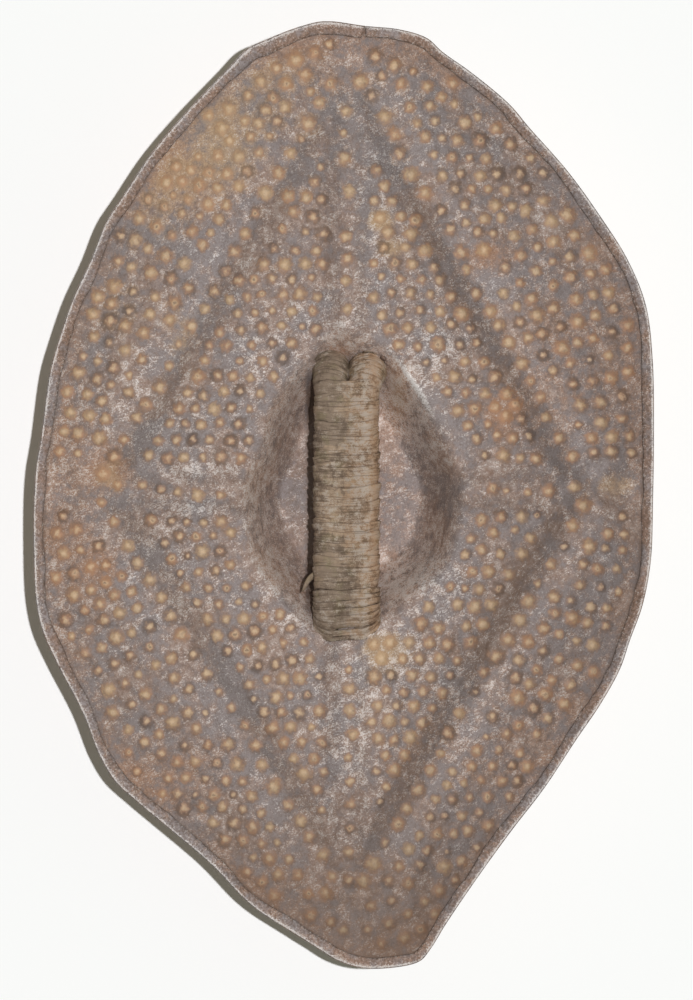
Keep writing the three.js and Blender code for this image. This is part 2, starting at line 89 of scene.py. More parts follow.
# The rim, clockwise from the top, as shares of the half width and half height
RIM_SHARES = [
    (-0.07, 0.995), (0.06, 0.985), (0.175, 0.977), (0.26, 0.959), (0.31, 0.93), (0.4, 0.888),
    (0.525, 0.82), (0.59, 0.77), (0.715, 0.677), (0.825, 0.577), (0.908, 0.49), (0.966, 0.395),
    (0.988, 0.28), (0.992, 0.13), (0.989, -0.02), (0.982, -0.145), (0.956, -0.238), (0.915, -0.313),
    (0.882, -0.375), (0.818, -0.45), (0.74, -0.525), (0.637, -0.627), (0.537, -0.712), (0.427, -0.811),
    (0.32, -0.914), (0.272, -0.965), (0.235, -0.992), (0.12, -1.007), (0.04, -1.005), (-0.03, -0.99),
    (-0.102, -0.961), (-0.185, -0.927), (-0.276, -0.889), (-0.33, -0.86), (-0.437, -0.787), (-0.592, -0.701),
    (-0.676, -0.655), (-0.747, -0.612), (-0.795, -0.56), (-0.85, -0.469), (-0.934, -0.363), (-0.98, -0.296),
    (-1.002, -0.23), (-1.01, -0.112), (-1.005, 0.036), (-0.985, 0.12), (-0.956, 0.258), (-0.927, 0.325),
    (-0.882, 0.41), (-0.824, 0.492), (-0.773, 0.574), (-0.718, 0.629), (-0.627, 0.718), (-0.521, 0.8),
    (-0.382, 0.895), (-0.318, 0.938), (-0.263, 0.955), (-0.15, 0.984),
]

# The hollow's brow, the same way round, as shares of its half width and half height
HOLLOW_SHARES = [
    (-0.13, 1.045), (0.03, 1.02), (0.37, 0.91), (0.58, 0.725), (0.8, 0.46), (0.92, 0.27), (1.05, 0.06),
    (1.02, -0.22), (0.91, -0.47), (0.71, -0.61), (0.5, -0.73), (0.25, -0.86), (-0.01, -0.95), (-0.27, -0.91),
    (-0.47, -0.765), (-0.67, -0.62), (-0.84, -0.43), (-0.94, 0.045), (-0.79, 0.27), (-0.7, 0.51),
    (-0.52, 0.745), (-0.3, 0.9),
]

# The lozenge's corners: right, bottom, left, top
LOZENGE_SHARES = [(0.985, 0), (0.02, -0.965), (-1.01, 0), (0, 1.02)]

# Grip, as in the solids
ROD_RADIUS = 4.5 * MM
ROD_SPACING = 21.4 * MM
TOP_SPLAY = 3.5 * MM
BAR_TOP = 59 * MM
BAR_BOTTOM = 68 * MM
BEND_RADIUS = 24 * MM
TOP_TILT = math.radians(62)
BOTTOM_TILT = math.radians(70)
RIVET_RADIUS = 7 * MM
RIVET_HEIGHT = 3.2 * MM
PADDING_RADIUS = 8.4 * MM
SEAT = 0.3 * MM
COIL_RADIUS = 10.1 * MM
WAIST_DIP = 1.8 * MM
MAIN_TOP = 71 * MM
MAIN_BOTTOM = -63 * MM
NAIL_X = 24 * MM
NAIL_Z = 88 * MM

# Camera and ground
PIXEL = 0.655 * MM
FRAME_HIGH = 1000
CAMERA_DISTANCE = 16.0
# In millimetres, as Blender takes it
CAMERA_SENSOR = 36
CAMERA_DROP = 8 * PIXEL
GROUND_HALF = 6.0
GROUND_BEHIND = 5 * MM


def srgb(red, green, blue):
    """A colour picked as 0 to 255 on a screen, in Blender's linear colours."""
    shares = np.array([red, green, blue]) / 255
    linear = np.where(shares <= 0.04045, shares / 12.92, ((shares + 0.055) / 1.055) ** 2.4)
    return (*(float(share) for share in linear), 1.0)


def colour_setting(name, description, colour):
    return bpy.props.FloatVectorProperty(
        name=name, description=description, subtype="COLOR", size=4, min=0, max=1, default=srgb(*colour)
    )


def length_setting(name, description, length):
    return bpy.props.FloatProperty(
        name=name, description=description, default=length, min=0, unit="LENGTH", precision=5
    )


def count_setting(name, description, count, least):
    return bpy.props.IntProperty(name=name, description=description, default=count, min=least)


def light_setting(name, description, strength):
    return bpy.props.FloatProperty(name=name, description=description, default=strength)


def angle_setting(name, description, degrees):
    return bpy.props.FloatProperty(
        name=name, description=description, default=math.radians(degrees), subtype="ANGLE"
    )


class PlateSettings(bpy.types.PropertyGroup):
    """Sizes and colours of the hammered sheet and its turned edge."""

    thickness: length_setting("Thickness", "Thickness of the iron sheet", 1.6 * MM)
    pit_radius: length_setting("Pit radius", "Mean radius of a punched pit", 4.3 * MM)
    pit_depth: length_setting("Pit depth", "Depth of a pit of the mean radius", 1.55 * MM)
    pit_jitter: length_setting("Pit jitter", "How far a pit strays from its row", 0.7 * MM)
    dent_depth: length_setting("Dent depth", "Height of the hammer's low dents between the pits", 0.3 * MM)
    hem_width: length_setting("Hem width", "Width of the turned edge", 6.9 * MM)
    hem_lift: length_setting("Hem lift", "How far the turned edge stands off at its inner side", 0.7 * MM)
    metal: colour_setting("Metal", "Cool grey of bare old iron", (124, 115, 113))
    brown: colour_setting("Brown", "Warm brown of the iron's skin", (126, 100, 84))
    dark: colour_setting("Dark", "Dark brown of rings and crevices", (84, 66, 53))
    worn: colour_setting("Worn", "Pale specks on worn high places", (210, 206, 202))
    dust: colour_setting("Dust", "Tan dust in the pits", (186, 156, 121))
    rust: colour_setting("Rust", "Orange rust", (172, 128, 96))
    pale: colour_setting("Pale dust", "Pale dust in the middle of a pit", (216, 191, 160))
    # Laid on the hollow's walls as painted light
    wall: colour_setting("Wall", "Dusty brown of the hollow's walls", (188, 160, 144))


class GripSettings(bpy.types.PropertyGroup):
    """Sizes and colours of the bound grip."""

    turns: count_setting("Turns", "Turns of the main thong", 40, 4)
    top_turns: count_setting("Top turns", "Turns round one rod at the top", 7, 1)
    lower_turns: count_setting("Lower turns", "Broad turns at the bottom", 7, 1)
    thong_thickness: length_setting("Thong thickness", "Thickness of the thong", 1.7 * MM)
    flap_length: length_setting("Flap length", "Length of the loose end past the grip's side", 8 * MM)
    hide: colour_setting("Hide", "Grey brown of the worn thong", (142, 124, 107))
    pale: colour_setting("Pale hide", "Tan of the thong where hands wore it", (172, 148, 124))
    dirt: colour_setting("Dirt", "Dirt between the turns", (72, 56, 44))
    moss: colour_setting("Moss", "Green brown of old grease", (134, 122, 92))
    # Also laid as a painted highlight along the grip's right edge
    amber: colour_setting("Amber", "Orange brown of the hide's worn right side", (174, 132, 96))
    grey: colour_setting("Grey", "Pale grey of dry fibres", (184, 172, 160))
    iron: colour_setting("Rod iron", "Forged iron of the rods and the nail", (110, 92, 82))


class StageSettings(bpy.types.PropertyGroup):
    """The lamps and the ground."""

    key_turn: angle_setting("Key turn", "How far to the camera's right the main lamp stands", 5.7)
    key_size: angle_setting("Key size", "Angle that the main lamp covers", 0.9)
    key_strength: light_setting("Key strength", "Light of the main lamp", 2.58)
    fill_strength: light_setting("Fill strength", "Light from all round", 0.16)
    fill_lean: light_setting("Fill lean", "How much stronger that light is from the holder's right", 0.85)
    ground: colour_setting("Ground", "White of the ground behind the shield", (254, 255, 255))


class ShieldSettings(bpy.types.PropertyGroup):
    """All that a user of the shield would change."""

    plate: bpy.props.PointerProperty(type=PlateSettings)
    grip: bpy.props.PointerProperty(type=GripSettings)
    stage: bpy.props.PointerProperty(type=StageSettings)


# Shader nodes


class Wire:
    """A socket of a shader node, with arithmetic that adds Math nodes."""

    def __init__(self, net, socket):
        self.net = net
        self.socket = socket

    def _math(self, operation, *values):
        return self.net.node("ShaderNodeMath", {"operation": operation}, dict(enumerate(values)))

    def __add__(self, other):
        return self._math("ADD", self, other)

    __radd__ = __add__

    def __sub__(self, other):
        return self._math("SUBTRACT", self, other)

    def __rsub__(self, other):
        return self._math("SUBTRACT", other, self)

    def __mul__(self, other):
        return self._math("MULTIPLY", self, other)

    __rmul__ = __mul__

    def __pow__(self, power):
        return self._math("POWER", self, power)

    def at_most(self, other):
        return self._math("MINIMUM", self, other)

    def at_least(self, other):
        return self._math("MAXIMUM", self, other)

    def rise(self, low, high):
        """0 below low, 1 above high and eased between them."""
        options, inputs = {"interpolation_type": "SMOOTHSTEP"}, {0: self, 1: low, 2: high}
        return self.net.node("ShaderNodeMapRange", options, inputs)

    def fall(self, low, high):
        return 1 - self.rise(low, high)


class Net:
    """The node tree of a material or a world, emptied, and the means to fill it."""

    def __init__(self, owner):
        owner.use_nodes = True
        self.tree = owner.node_tree
        self.tree.nodes.clear()

    def feed(self, made, inputs):
        for key, value in inputs.items():
            if isinstance(value, Wire):
                self.tree.links.new(value.socket, made.inputs[key])
            else:
                made.inputs[key].default_value = value

    def add(self, kind, options=None, inputs=None):
        made = self.tree.nodes.new(kind)
        for key, value in (options or {}).items():
            setattr(made, key, value)
        self.feed(made, inputs or {})
        return made

    def node(self, kind, options=None, inputs=None, output=0):
        return Wire(self, self.add(kind, options, inputs).outputs[output])

    def split(self, vector):
        parts = self.add("ShaderNodeSeparateXYZ", inputs={0: vector})
        return [Wire(self, socket) for socket in parts.outputs]


class Finish(Net):
    """A procedural material: a Principled shader and the nodes that feed it."""

    def __init__(self, name, **steady):
        self.material = bpy.data.materials.new(name)
        super().__init__(self.material)
        self.shader = self.add("ShaderNodeBsdfPrincipled")
        surface = Wire(self, self.shader.outputs[0])
        self.output = self.add("ShaderNodeOutputMaterial", inputs={"Surface": surface})
        self.end(**steady)

    def end(self, **inputs):
        """Feeds the shader's own sockets, named with _ for each space."""
        self.feed(self.shader, {key.replace("_", " "): value for key, value in inputs.items()})
        return self.material

    def place(self):
        return self.node("ShaderNodeTexCoord", output="Object")

    def attribute(self, name):
        """The three numbers of a vector attribute."""
        return self.split(self.node("ShaderNodeAttribute", {"attribute_name": name}, output="Vector"))

    def join(self, x, y, z):
        return self.node("ShaderNodeCombineXYZ", inputs={0: x, 1: y, 2: z})

    def noise(self, vector, size, detail, roughness):
        """Noise of about one size, from 0 to 1."""
        inputs = {"Vector": vector, "Scale": 1 / size, "Detail": detail, "Roughness": roughness}
        return self.node("ShaderNodeTexNoise", inputs=inputs)

    def noises(self, vector, *kinds):
        """Noises, each of a size in millimetres, a detail and a roughness."""
        return [self.noise(vector, size * MM, detail, roughness) for size, detail, roughness in kinds]

    def layers(self, colour, *layers):
        """A colour with others laid over it in their order, each as the share that covers it and its
        colour."""
        for share, over in layers:
            inputs = {0: share, 6: colour, 7: over}
            colour = self.node("ShaderNodeMix", {"data_type": "RGBA"}, inputs, output=2)
        return colour

    def bump(self, height, distance, strength):
        inputs = {"Height": height, "Distance": distance, "Strength": strength}
        return self.node("ShaderNodeBump", inputs=inputs)


def settings():
    return bpy.context.scene.iron_shield


def iron_base(finish, place, colours):
    """Bare old iron: cool and brown clouds with dark grain on them. Returns its colour and its noises."""
    kinds = ((30, 4, 0.6), (7, 4, 0.65), (1.7, 5, 0.7), (0.9, 3, 0.7))
    cloud, blotch, grain, speck = finish.noises(place, *kinds)
    brown = (cloud * 0.6 + blotch * 0.4).rise(0.42, 0.58)
    colour = finish.layers(
        colours.metal,
        (brown * 0.9, colours.brown),
        (grain.fall(0.34, 0.54) * 0.4, colours.dark),
    )
    return colour, grain, speck, blotch, cloud


def sheet_finish(colours):
    """The sheet. The pit attribute is the offset from the middle of the nearest pit over that pit's radius;
    the trait attribute is the pit's tone, core and darkness; the zone attribute is dust, rust and wear; the
    edge attribute is painted shade (in the crevice by the hem, under the grip's left side and in darker
    places) less painted light on the hollow's walls, painted shade in strips inside the lozenge's sides, and
    the brow's wear with a painted highlight on it."""
    finish = Finish("hammered_iron", Specular_IOR_Level=0.4)
    place = finish.place()
    colour, grain, speck, blotch, cloud = iron_base(finish, place, colours)
    dx, dz, _ = finish.attribute("pit")
    tone, core, darkness = finish.attribute("trait")
    dust, rust, wear = finish.attribute("zone")
    painted_shade_and_light, bare, brow = finish.attribute("edge")
    # Below 0 this channel is painted light on the hollow's walls, above 0 it is painted shade
    hollow = (0 - painted_shade_and_light).at_least(0)
    painted_shade_and_light = painted_shade_and_light.at_least(0)
    wobble = finish.noise(place, 3 * MM, 2, 0.5)
    radius = (dx * dx + dz * dz) ** 0.5
    radius = radius + (grain - 0.5) * 0.8 + (blotch - 0.5) * 0.6 + (wobble - 0.5) * 1.0
    past_core = radius - core
    centre = past_core.fall(-0.4, 0.34)
    ring = past_core.rise(-0.2, 0.2) * radius.fall(0.8, 1.35)
    mark = radius.fall(0.0, 0.22) * tone.rise(0.84, 0.88)
    orange = (tone * 0.6 + rust * 0.5 + past_core.rise(-0.6, 0.1) * 0.75).rise(0.3, 1.15)
    middle = finish.layers(colours.dust, (orange * 0.9, colours.rust))
    x, y, z = finish.split(place)
    streak = finish.noise(finish.join(x, y, z * 0.4), 1.8 * MM, 5, 0.7)
    walls = streak.rise(0.3, 0.65) * 0.5 + blotch.rise(0.4, 0.6) * 0.3 + 0.15
    gleam = (cloud * 0.45 + blotch * 0.4 + wobble * 0.2).rise(0.5, 0.66)
    halo = radius.fall(0.9, 2.1)
    rusty = (blotch * 0.55 + grain * 0.35 + rust * 0.28 + halo * 0.05).rise(0.48, 0.76)
    dusty = (blotch * 0.45 + grain * 0.25 + dust * 0.42 + halo * 0.12).rise(0.5, 0.9)
    scratch = finish.noise(finish.join((x + z * 0.4) * 0.3, y, z - x * 0.4), 1.1 * MM, 3, 0.7)
    worn = (speck * 0.4 + scratch * 0.3 + blotch * 0.34 + wear * 0.06 + hollow * 0.04).rise(0.53, 0.66)
    # Worn metal and a painted highlight along the brow
    rubbed_and_highlit = (brow * (speck * 0.9 + blotch * 0.6 + scratch * 0.5 - 0.3)).rise(0.3, 0.9)
    worn = (worn * radius.rise(0.8, 1.2) + rubbed_and_highlit * 1.3).at_most(1.5)
    colour = finish.layers(
        colour,
        # Paler brown in upright streaks on the hollow's walls: painted light that offsets their shade, with
        # rust and dark streaks on it
        (hollow * walls, colours.wall),
        (hollow * cloud.rise(0.46, 0.62) * 0.25, colours.rust),
        (hollow * (streak * 0.5 + blotch * 0.5).fall(0.38, 0.52) * 0.4, colours.dark),
        # Cool soft gleams, and painted shade in strips inside the lozenge's sides
        (gleam * 0.22, colours.worn),
        (bare * cloud * 0.35, colours.dark),
        # Rust and dust that spread past the pits
        (rusty * 0.55, colours.rust),
        (dusty * 0.8, colours.dust),
        # Worn metal on the high places between pits, and on the brow worn metal with a painted highlight
        (worn * 0.55, colours.worn),
        (speck.fall(0.36, 0.5) * 0.3, colours.dark),
        # Rings and middles of the pits, and a dark punch mark in some
        (ring * (darkness * 0.4 + 0.13), colours.dark),
        (centre * (grain.rise(0.34, 0.58) * 0.45 + 0.38), middle),
        (radius.fall(0.02, 0.58) * (speck * 0.7 + grain * 0.35), colours.pale),
        (mark * 0.55, colours.dark),
        ((painted_shade_and_light * 0.75).at_most(0.85), colours.dark),
    )
    covered = (centre * 0.85).at_least(dusty * 0.8).at_least(rusty * 0.7)
    metallic = (1 - covered * 0.8) * (1 - hollow * 0.3) * 0.34
    roughness = (covered * 0.15 + 0.62 - worn * 0.1).at_most(0.95)
    normal = finish.bump(grain * 0.5 + speck * 0.35 + blotch * 0.2, 0.8 * MM, 0.5)
    return finish.end(Base_Color=colour, Metallic=metallic, Roughness=roughness, Normal=normal)


def hem_finish(colours):
    """The turned edge. The band attribute is the place across the band from the rim to its inner side, and
    the wear of its edges, whose pale specks on the rounded fold are also a painted highlight. Its inner side
    has painted shade."""
    finish = Finish("turned_edge_iron", Specular_IOR_Level=0.4)
    colour, grain, speck, blotch, _ = iron_base(finish, finish.place(), colours)
    across, wear, _ = finish.attribute("band")
    rusty = (blotch * 0.6 + grain * 0.4).rise(0.5, 0.7) * 0.4
    # Pale specks of wear, on the fold also a painted highlight
    worn = (speck * 0.5 + grain * 0.25 + blotch * 0.3 + wear * 0.12 - 0.02).rise(0.54, 0.7)
    colour = finish.layers(
        colour,
        (rusty, colours.rust),
        (grain.fall(0.42, 0.56) * 0.5, colours.dark),
        (worn * 0.7, colours.worn),
        # Painted shade on the hem's inner side, by the crevice
        (across.rise(0.95, 1.03) * 0.35, colours.dark),
    )
    normal = finish.bump(grain * 0.5 + speck * 0.5 + blotch * 0.4, 0.9 * MM, 0.6)
    metallic, roughness = 0.4 - rusty * 0.6, 0.56 + rusty * 0.5
    return finish.end(Base_Color=colour, Metallic=metallic, Roughness=roughness, Normal=normal)


def forged_finish(colours, iron):
    """Forged iron of the rods, rivets and nail: dark, grainy and lightly rusted."""
    finish = Finish("dark_iron", Specular_IOR_Level=0.45)
    grain, blotch = finish.noises(finish.place(), (1.2, 4, 0.7), (3.5, 3, 0.6))
    rusty = (blotch * 0.7 + grain * 0.3).rise(0.52, 0.68)
    colour = finish.layers(
        iron,
        (grain.rise(0.4, 0.7) * 0.6, colours.dark),
        (rusty * 0.6, colours.rust),
        (grain.rise(0.62, 0.75) * 0.5, colours.worn),
    )
    normal = finish.bump(grain * 0.6 + blotch * 0.6, 0.8 * MM, 0.7)
    metallic, roughness = 0.7 - rusty * 0.5, 0.5 + rusty * 0.35
    return finish.end(Base_Color=colour, Metallic=metallic, Roughness=roughness, Normal=normal)


def thong_finish(name, colours, shift):
    """Hide thong. The strand attribute is the length along the thong in metres, the share across its width
    from -1 to 1 and the turn's tone. The grime attribute is the dirt of the groove between the rods, the
    wear, and a painted highlight in a stripe along the grip's right edge, which faces the light."""
    finish = Finish(name, Specular_IOR_Level=0.35)
    along, across, tone = finish.attribute("strand")
    groove, worn, lit_edge_stripe = finish.attribute("grime")
    lines = finish.noise(finish.join(along * 90, across * 3.2, tone * 31), 1.0, 4, 0.65)
    pores, blotch, patch, tint = finish.noises(
        finish.place(), (0.8, 3, 0.65), (5, 4, 0.65), (16, 3, 0.6), (9, 3, 0.6)
    )
    light = blotch * 0.6 + patch * 0.6 + tone * 0.15 + worn * 0.4 + lines * 0.3
    light = light.rise(0.7 + shift, 1.0 + shift)
    # Amber tone, and a painted highlight along the right edge
    amber = (patch * 0.4 + pores * 0.3 + worn * 0.3 + lit_edge_stripe * blotch * 0.7 + groove * 0.1).rise(0.42, 0.75)
    dry = (blotch * 0.55 + pores * 0.35 + lines * 0.25 + worn * patch * 0.15).rise(0.58, 0.71)
    soiled = (blotch * 0.4 + patch * 0.4 + pores * 0.25).fall(0.42, 0.54)
    side = (across * across + (blotch - 0.5) * 0.9).rise(0.5, 1.15)
    dirt = (side * (0.42 - worn * 0.25) + groove * blotch.rise(0.45, 0.62) * 0.3).at_most(0.9)
    colour = finish.layers(
        colours.hide,
        (light * 0.9, colours.pale),
        (tint.rise(0.5, 0.64) * 0.5, colours.moss),
        (amber * 0.55, colours.amber),
        (lines.fall(0.36, 0.52) * (patch.fall(0.4, 0.62) * 0.45 + 0.15), colours.dirt),
        (dry * (0.8 - lit_edge_stripe * 0.5), colours.grey),
        (soiled * 0.55, colours.dirt),
        (dirt, colours.dirt),
    )
    normal = finish.bump(lines * 0.6 + pores * 0.35 + blotch * 0.3, 1.2 * MM, 0.9)
    return finish.end(Base_Color=colour, Roughness=0.62 + pores * 0.3, Normal=normal)


def padding_finish(colours):
    """Hard old hide under the thong."""
    finish = Finish("old_hide", Specular_IOR_Level=0.3)
    pores, blotch = finish.noises(finish.place(), (0.9, 3, 0.65), (6, 3, 0.6))
    colour = finish.layers(
        colours.hide,
        (blotch.fall(0.3, 0.56) * 0.6, colours.dirt),
        (pores.rise(0.45, 0.7) * 0.4, colours.pale),
    )
    normal = finish.bump(pores * 0.6 + blotch * 0.5, 0.7 * MM, 0.8)
    return finish.end(Base_Color=colour, Roughness=0.78 + pores * 0.15, Normal=normal)


# Shapes


def ease(value, low, high):
    """0 below low, 1 above high and 3t^2 - 2t^3 between them."""
    share = np.clip((value - low) / (high - low), 0, 1)
    return share * share * (3 - 2 * share)


def closed_curve(shares, span_x, span_z, per_knot):
    """Centripetal Catmull-Rom curve through the knots: between two knots it is a cubic whose ends lean as
    the square roots of the gaps between the neighbours say."""
    knots = np.array(shares) * (span_x, span_z)
    before, start, end, after = (np.roll(knots, step, 0) for step in (1, 0, -1, -2))
    first, middle, last = (
        np.sqrt(np.linalg.norm(b - a, axis=1))[:, None]
        for a, b in ((before, start), (start, end), (end, after))
    )
    leave = middle * ((start - before) / first - (end - before) / (first + middle) + (end - start) / middle)
    arrive = middle * ((end - start) / middle - (after - start) / (middle + last) + (after - end) / last)
    t = (np.arange(per_knot) / per_knot)[None, :, None]
    start, end, leave, arrive = (row[:, None] for row in (start, end, leave, arrive))
    curve = start + leave * t + (3 * end - 3 * start - 2 * leave - arrive) * t**2
    curve = curve + (2 * start - 2 * end + leave + arrive) * t**3
    return curve.reshape(-1, 2)


def reach(outline, x, z):
    """Distance from the middle to a closed outline, along the ray through each place, read off by the ray's
    angle."""
    angles = np.arctan2(outline[:, 1], outline[:, 0])
    order = np.argsort(angles)
    radii = np.hypot(outline[:, 0], outline[:, 1])
    return np.interp(np.arctan2(z, x), angles[order], radii[order], period=2 * math.pi)


def polyline(corners, per_side):
    """Points along the straight sides of a closed polygon."""
    share = (np.arange(per_side) / per_side)[None, :, None]
    ends = np.roll(corners, -1, 0)
    return (corners[:, None] * (1 - share) + ends[:, None] * share).reshape(-1, 2)


RIM = closed_curve(RIM_SHARES, HALF_WIDTH, HALF_HEIGHT, 24)
BROW = closed_curve(HOLLOW_SHARES, HOLLOW_HALF_WIDTH, HOLLOW_HALF_HEIGHT, 24)
LOZENGE = np.array(LOZENGE_SHARES) * (LOZENGE_HALF_WIDTH, LOZENGE_HALF_HEIGHT)
LOZENGE_LOOP = polyline(LOZENGE, 60)


def lozenge_distance(x, z):
    """Distance to the nearest side of the lozenge."""
    nearest = np.full(np.shape(x), np.inf)
    for (ax, az), (bx, bz) in zip(LOZENGE, np.roll(LOZENGE, -1, 0)):
        run = (bx - ax) ** 2 + (bz - az) ** 2
        share = np.clip(((x - ax) * (bx - ax) + (z - az) * (bz - az)) / run, 0, 1)
        nearest = np.minimum(nearest, np.hypot(x - ax - share * (bx - ax), z - az - share * (bz - az)))
    return nearest


def back_level(x, z):
    """Y of the sheet's smooth back: a dish that falls to the rim by a power of the way out, less a
    bell-shaped ridge over the lozenge and the cross, blended to a flat floor inside the hollow's brow."""
    distance = np.hypot(x, z)
    brow = reach(BROW, x, z)
    outward = np.maximum(0, (distance - brow) / (reach(RIM, x, z) - brow))
    dish = SURROUND_LEVEL + (RIM_LEVEL - SURROUND_LEVEL) * outward**DISH_POWER
    nearest = np.minimum(lozenge_distance(x, z), np.minimum(np.abs(x), np.abs(z)))
    ridge = RIDGE_HEIGHT * np.exp(-((nearest / RIDGE_WIDTH) ** 2))
    level = dish - ridge * (1 - ease(outward, RIDGE_FADE, 1))
    depth = 1 - ease(distance / brow, FLOOR_SHARE, BROW_SHARE)
    return level + (FLOOR_LEVEL - level) * depth


def unit(vectors):
    """Vectors divided by their own lengths."""
    return vectors / np.linalg.norm(vectors, axis=-1, keepdims=True)


def front_normal(x, z):
    """Unit normal of the sheet towards the front, from the level's slopes over a short probe."""
    probe = 0.5 * MM
    slope_x = (back_level(x + probe, z) - back_level(x - probe, z)) / (2 * probe)
    slope_z = (back_level(x, z + probe) - back_level(x, z - probe)) / (2 * probe)
    return unit(np.stack([-slope_x, np.ones_like(slope_x), -slope_z], -1))


def square_frame(x, z):
    """The sheet's normal at a place, and two directions square to it."""
    normal = front_normal(np.array(x), np.array(z))
    first = unit(np.cross(normal, [0, 0, 1.0]))
    return normal, first, np.cross(normal, first)


def around(corners):
    """Angles of the corners of a ring."""
    return 2 * math.pi * np.arange(corners) / corners


def circles(middle, radii, corners, first, second):
    """Rings round middles in the plane of two directions: the middle, plus the radius times the cosine of
    the corner's angle along the first and the sine along the second."""
    angle = around(corners)
    return middle + (radii * np.cos(angle))[..., None] * first + (radii * np.sin(angle))[..., None] * second


def ripple(seed, size, count=20):
    """A smooth random field of about one size and unit spread: a sum of plane waves, each with its own
    heading."""
    rng = np.random.default_rng(seed)
    heading = rng.uniform(0, 2 * math.pi, count)
    pace = 2 * math.pi / (size * rng.uniform(0.75, 1.6, count))
    phase = rng.uniform(0, 2 * math.pi, count)
    wave_x, wave_z = np.cos(heading) * pace, np.sin(heading) * pace

    def field(x, z):
        x, z = np.asarray(x)[..., None], np.asarray(z)[..., None]
        return np.sin(x * wave_x + z * wave_z + phase).sum(-1) * math.sqrt(2 / count)

    return field


# Pits, in rows


# Places of the cross's pits, in millimetres from the middle
CROSS_UP = (111, 122, 139, 153, 171, 199, 220, 236, 250)
CROSS_DOWN = (104, 115, 129, 143, 158, 174, 190, 206, 222, 238, 253)
CROSS_LEFT = (75, 84, 96, 108, 121, 133, 148)
CROSS_RIGHT = (84, 96, 106, 119, 133, 148)
# From pit to pit in a row, and from row to row
LINE_PITCH = 14.2 * MM
INNER_PITCH, INNER_APART = 12 * MM, 10.4 * MM
OUTER_PITCH, OUTER_APART = 11.9 * MM, 12.1 * MM
INNER_ROWS, INNER_PITS, OUTER_PITS = 13, 27, 10
# From the lozenge's side to the first row inside it
INNER_START = 19.5 * MM
# How much bigger than the mean the pits of the lozenge's sides and of the outer zone are
LINE_SIZE, OUTER_SIZE = 1.12, 1.08
# How far the rows sway, and how far the pits' sizes spread
SWAY = 1.2 * MM
SPREAD, SMALLEST, LARGEST = 0.15, 0.7, 1.35
# The least distances of a pit to another, to the lozenge's side, to the brow and to the hem
LEAST_GAP = 8.9 * MM
OFF_LINE = 12.5 * MM
OFF_BROW = 8.5 * MM
OFF_HEM = 6.5 * MM


def row_of(start, heading, first, pitch, count):
    """Places along a line from a start."""
    steps = first + pitch * np.arange(count)
    return start + heading * steps[:, None]


def pit_rows(sizes):
    """The punched pits, as rows by hand would lay them: the cross, the lozenge, rows beside it inside, and
    rows that fan across the outer zone. Returns x, z and radius of each, with those dropped that would lie
    on another."""
    rng = np.random.default_rng(11)
    # The cross through the hollow: above, below, left and right. With each row goes its pits' size
    lines = [
        (np.array(places) * MM, size) for places, size in (
            ([(0, z) for z in CROSS_UP], 1.0), ([(2, -z) for z in CROSS_DOWN], 1.04),
            ([(-x, 2) for x in CROSS_LEFT], 0.84), ([(x, 3) for x in CROSS_RIGHT], 0.98),
        )
    ]
    right, bottom, left, top = LOZENGE
    inner, outer = [], []
    for side, end, turn in ((right, top, 1), (left, top, -1), (left, bottom, 1), (right, bottom, -1)):
        length = np.hypot(*(end - side))
        along = (end - side) / length
        out = np.array([along[1], -along[0]]) * turn
        lines.append((row_of(side, along, 12 * MM, LINE_PITCH, int(length / LINE_PITCH) - 1), LINE_SIZE))
        for row in range(INNER_ROWS):
            start = side - out * (INNER_START + INNER_APART * row)
            # Every other row starts half a pitch on
            inner.append((row_of(start, along, (2 + 6 * (row % 2)) * MM, INNER_PITCH, INNER_PITS), 1.0))
        for row in range(int(length / OUTER_APART) + 3):
            place = (row - 1) * OUTER_APART
            share = np.clip(place / length, 0, 1)
            fan = turn * math.radians(20 * share**2 - 24 * (1 - share) ** 2)
            heading = out * math.cos(fan) + np.array([-out[1], out[0]]) * math.sin(fan)
            first = (15 + 3 * math.sin(row * 1.7)) * MM
            outer.append((row_of(side + along * place, heading, first, OUTER_PITCH, OUTER_PITS), OUTER_SIZE))
    rows = lines + inner + outer
    places = np.concatenate([places for places, _ in rows])
    scale = np.concatenate([np.full(len(places), size) for places, size in rows])
    sway_x, sway_z = ripple(5, 60 * MM), ripple(6, 60 * MM)
    sway = np.stack([sway_x(*places.T), sway_z(*places.T)], -1) * SWAY
    places = places + sway + rng.normal(0, sizes.pit_jitter, places.shape)
    radii = sizes.pit_radius * scale * np.clip(rng.normal(1, SPREAD, len(places)), SMALLEST, LARGEST)
    x, z = places.T
    from_middle = np.hypot(x, z)
    past_brow = from_middle - reach(BROW, x, z)
    inside_rim = reach(RIM, x, z) - from_middle
    on_line = np.arange(len(x)) < sum(len(places) for places, _ in lines)
    clear_strip = (np.abs(x - 1 * MM) > 15.5 * MM) & ((z > 20 * MM) | (z < -14 * MM))
    clear_line = lozenge_distance(x, z) > OFF_LINE
    near_tip = np.abs(z) > 262 * MM
    bare_patch = np.hypot((x - 172 * MM) / 1.5, z - 6 * MM) <= 14 * MM
    keep = (past_brow > OFF_BROW) & (inside_rim > sizes.hem_width + OFF_HEM) & ~bare_patch
    keep &= on_line | (clear_strip & clear_line) | near_tip
    places, radii = places[keep], radii[keep]
    kept = []
    for i, place in enumerate(places):
        gaps = np.hypot(*(places[kept] - place).T) if kept else np.array([np.inf])
        if gaps.min() > LEAST_GAP:
            kept.append(i)
    return places[kept, 0], places[kept, 1], radii[kept]


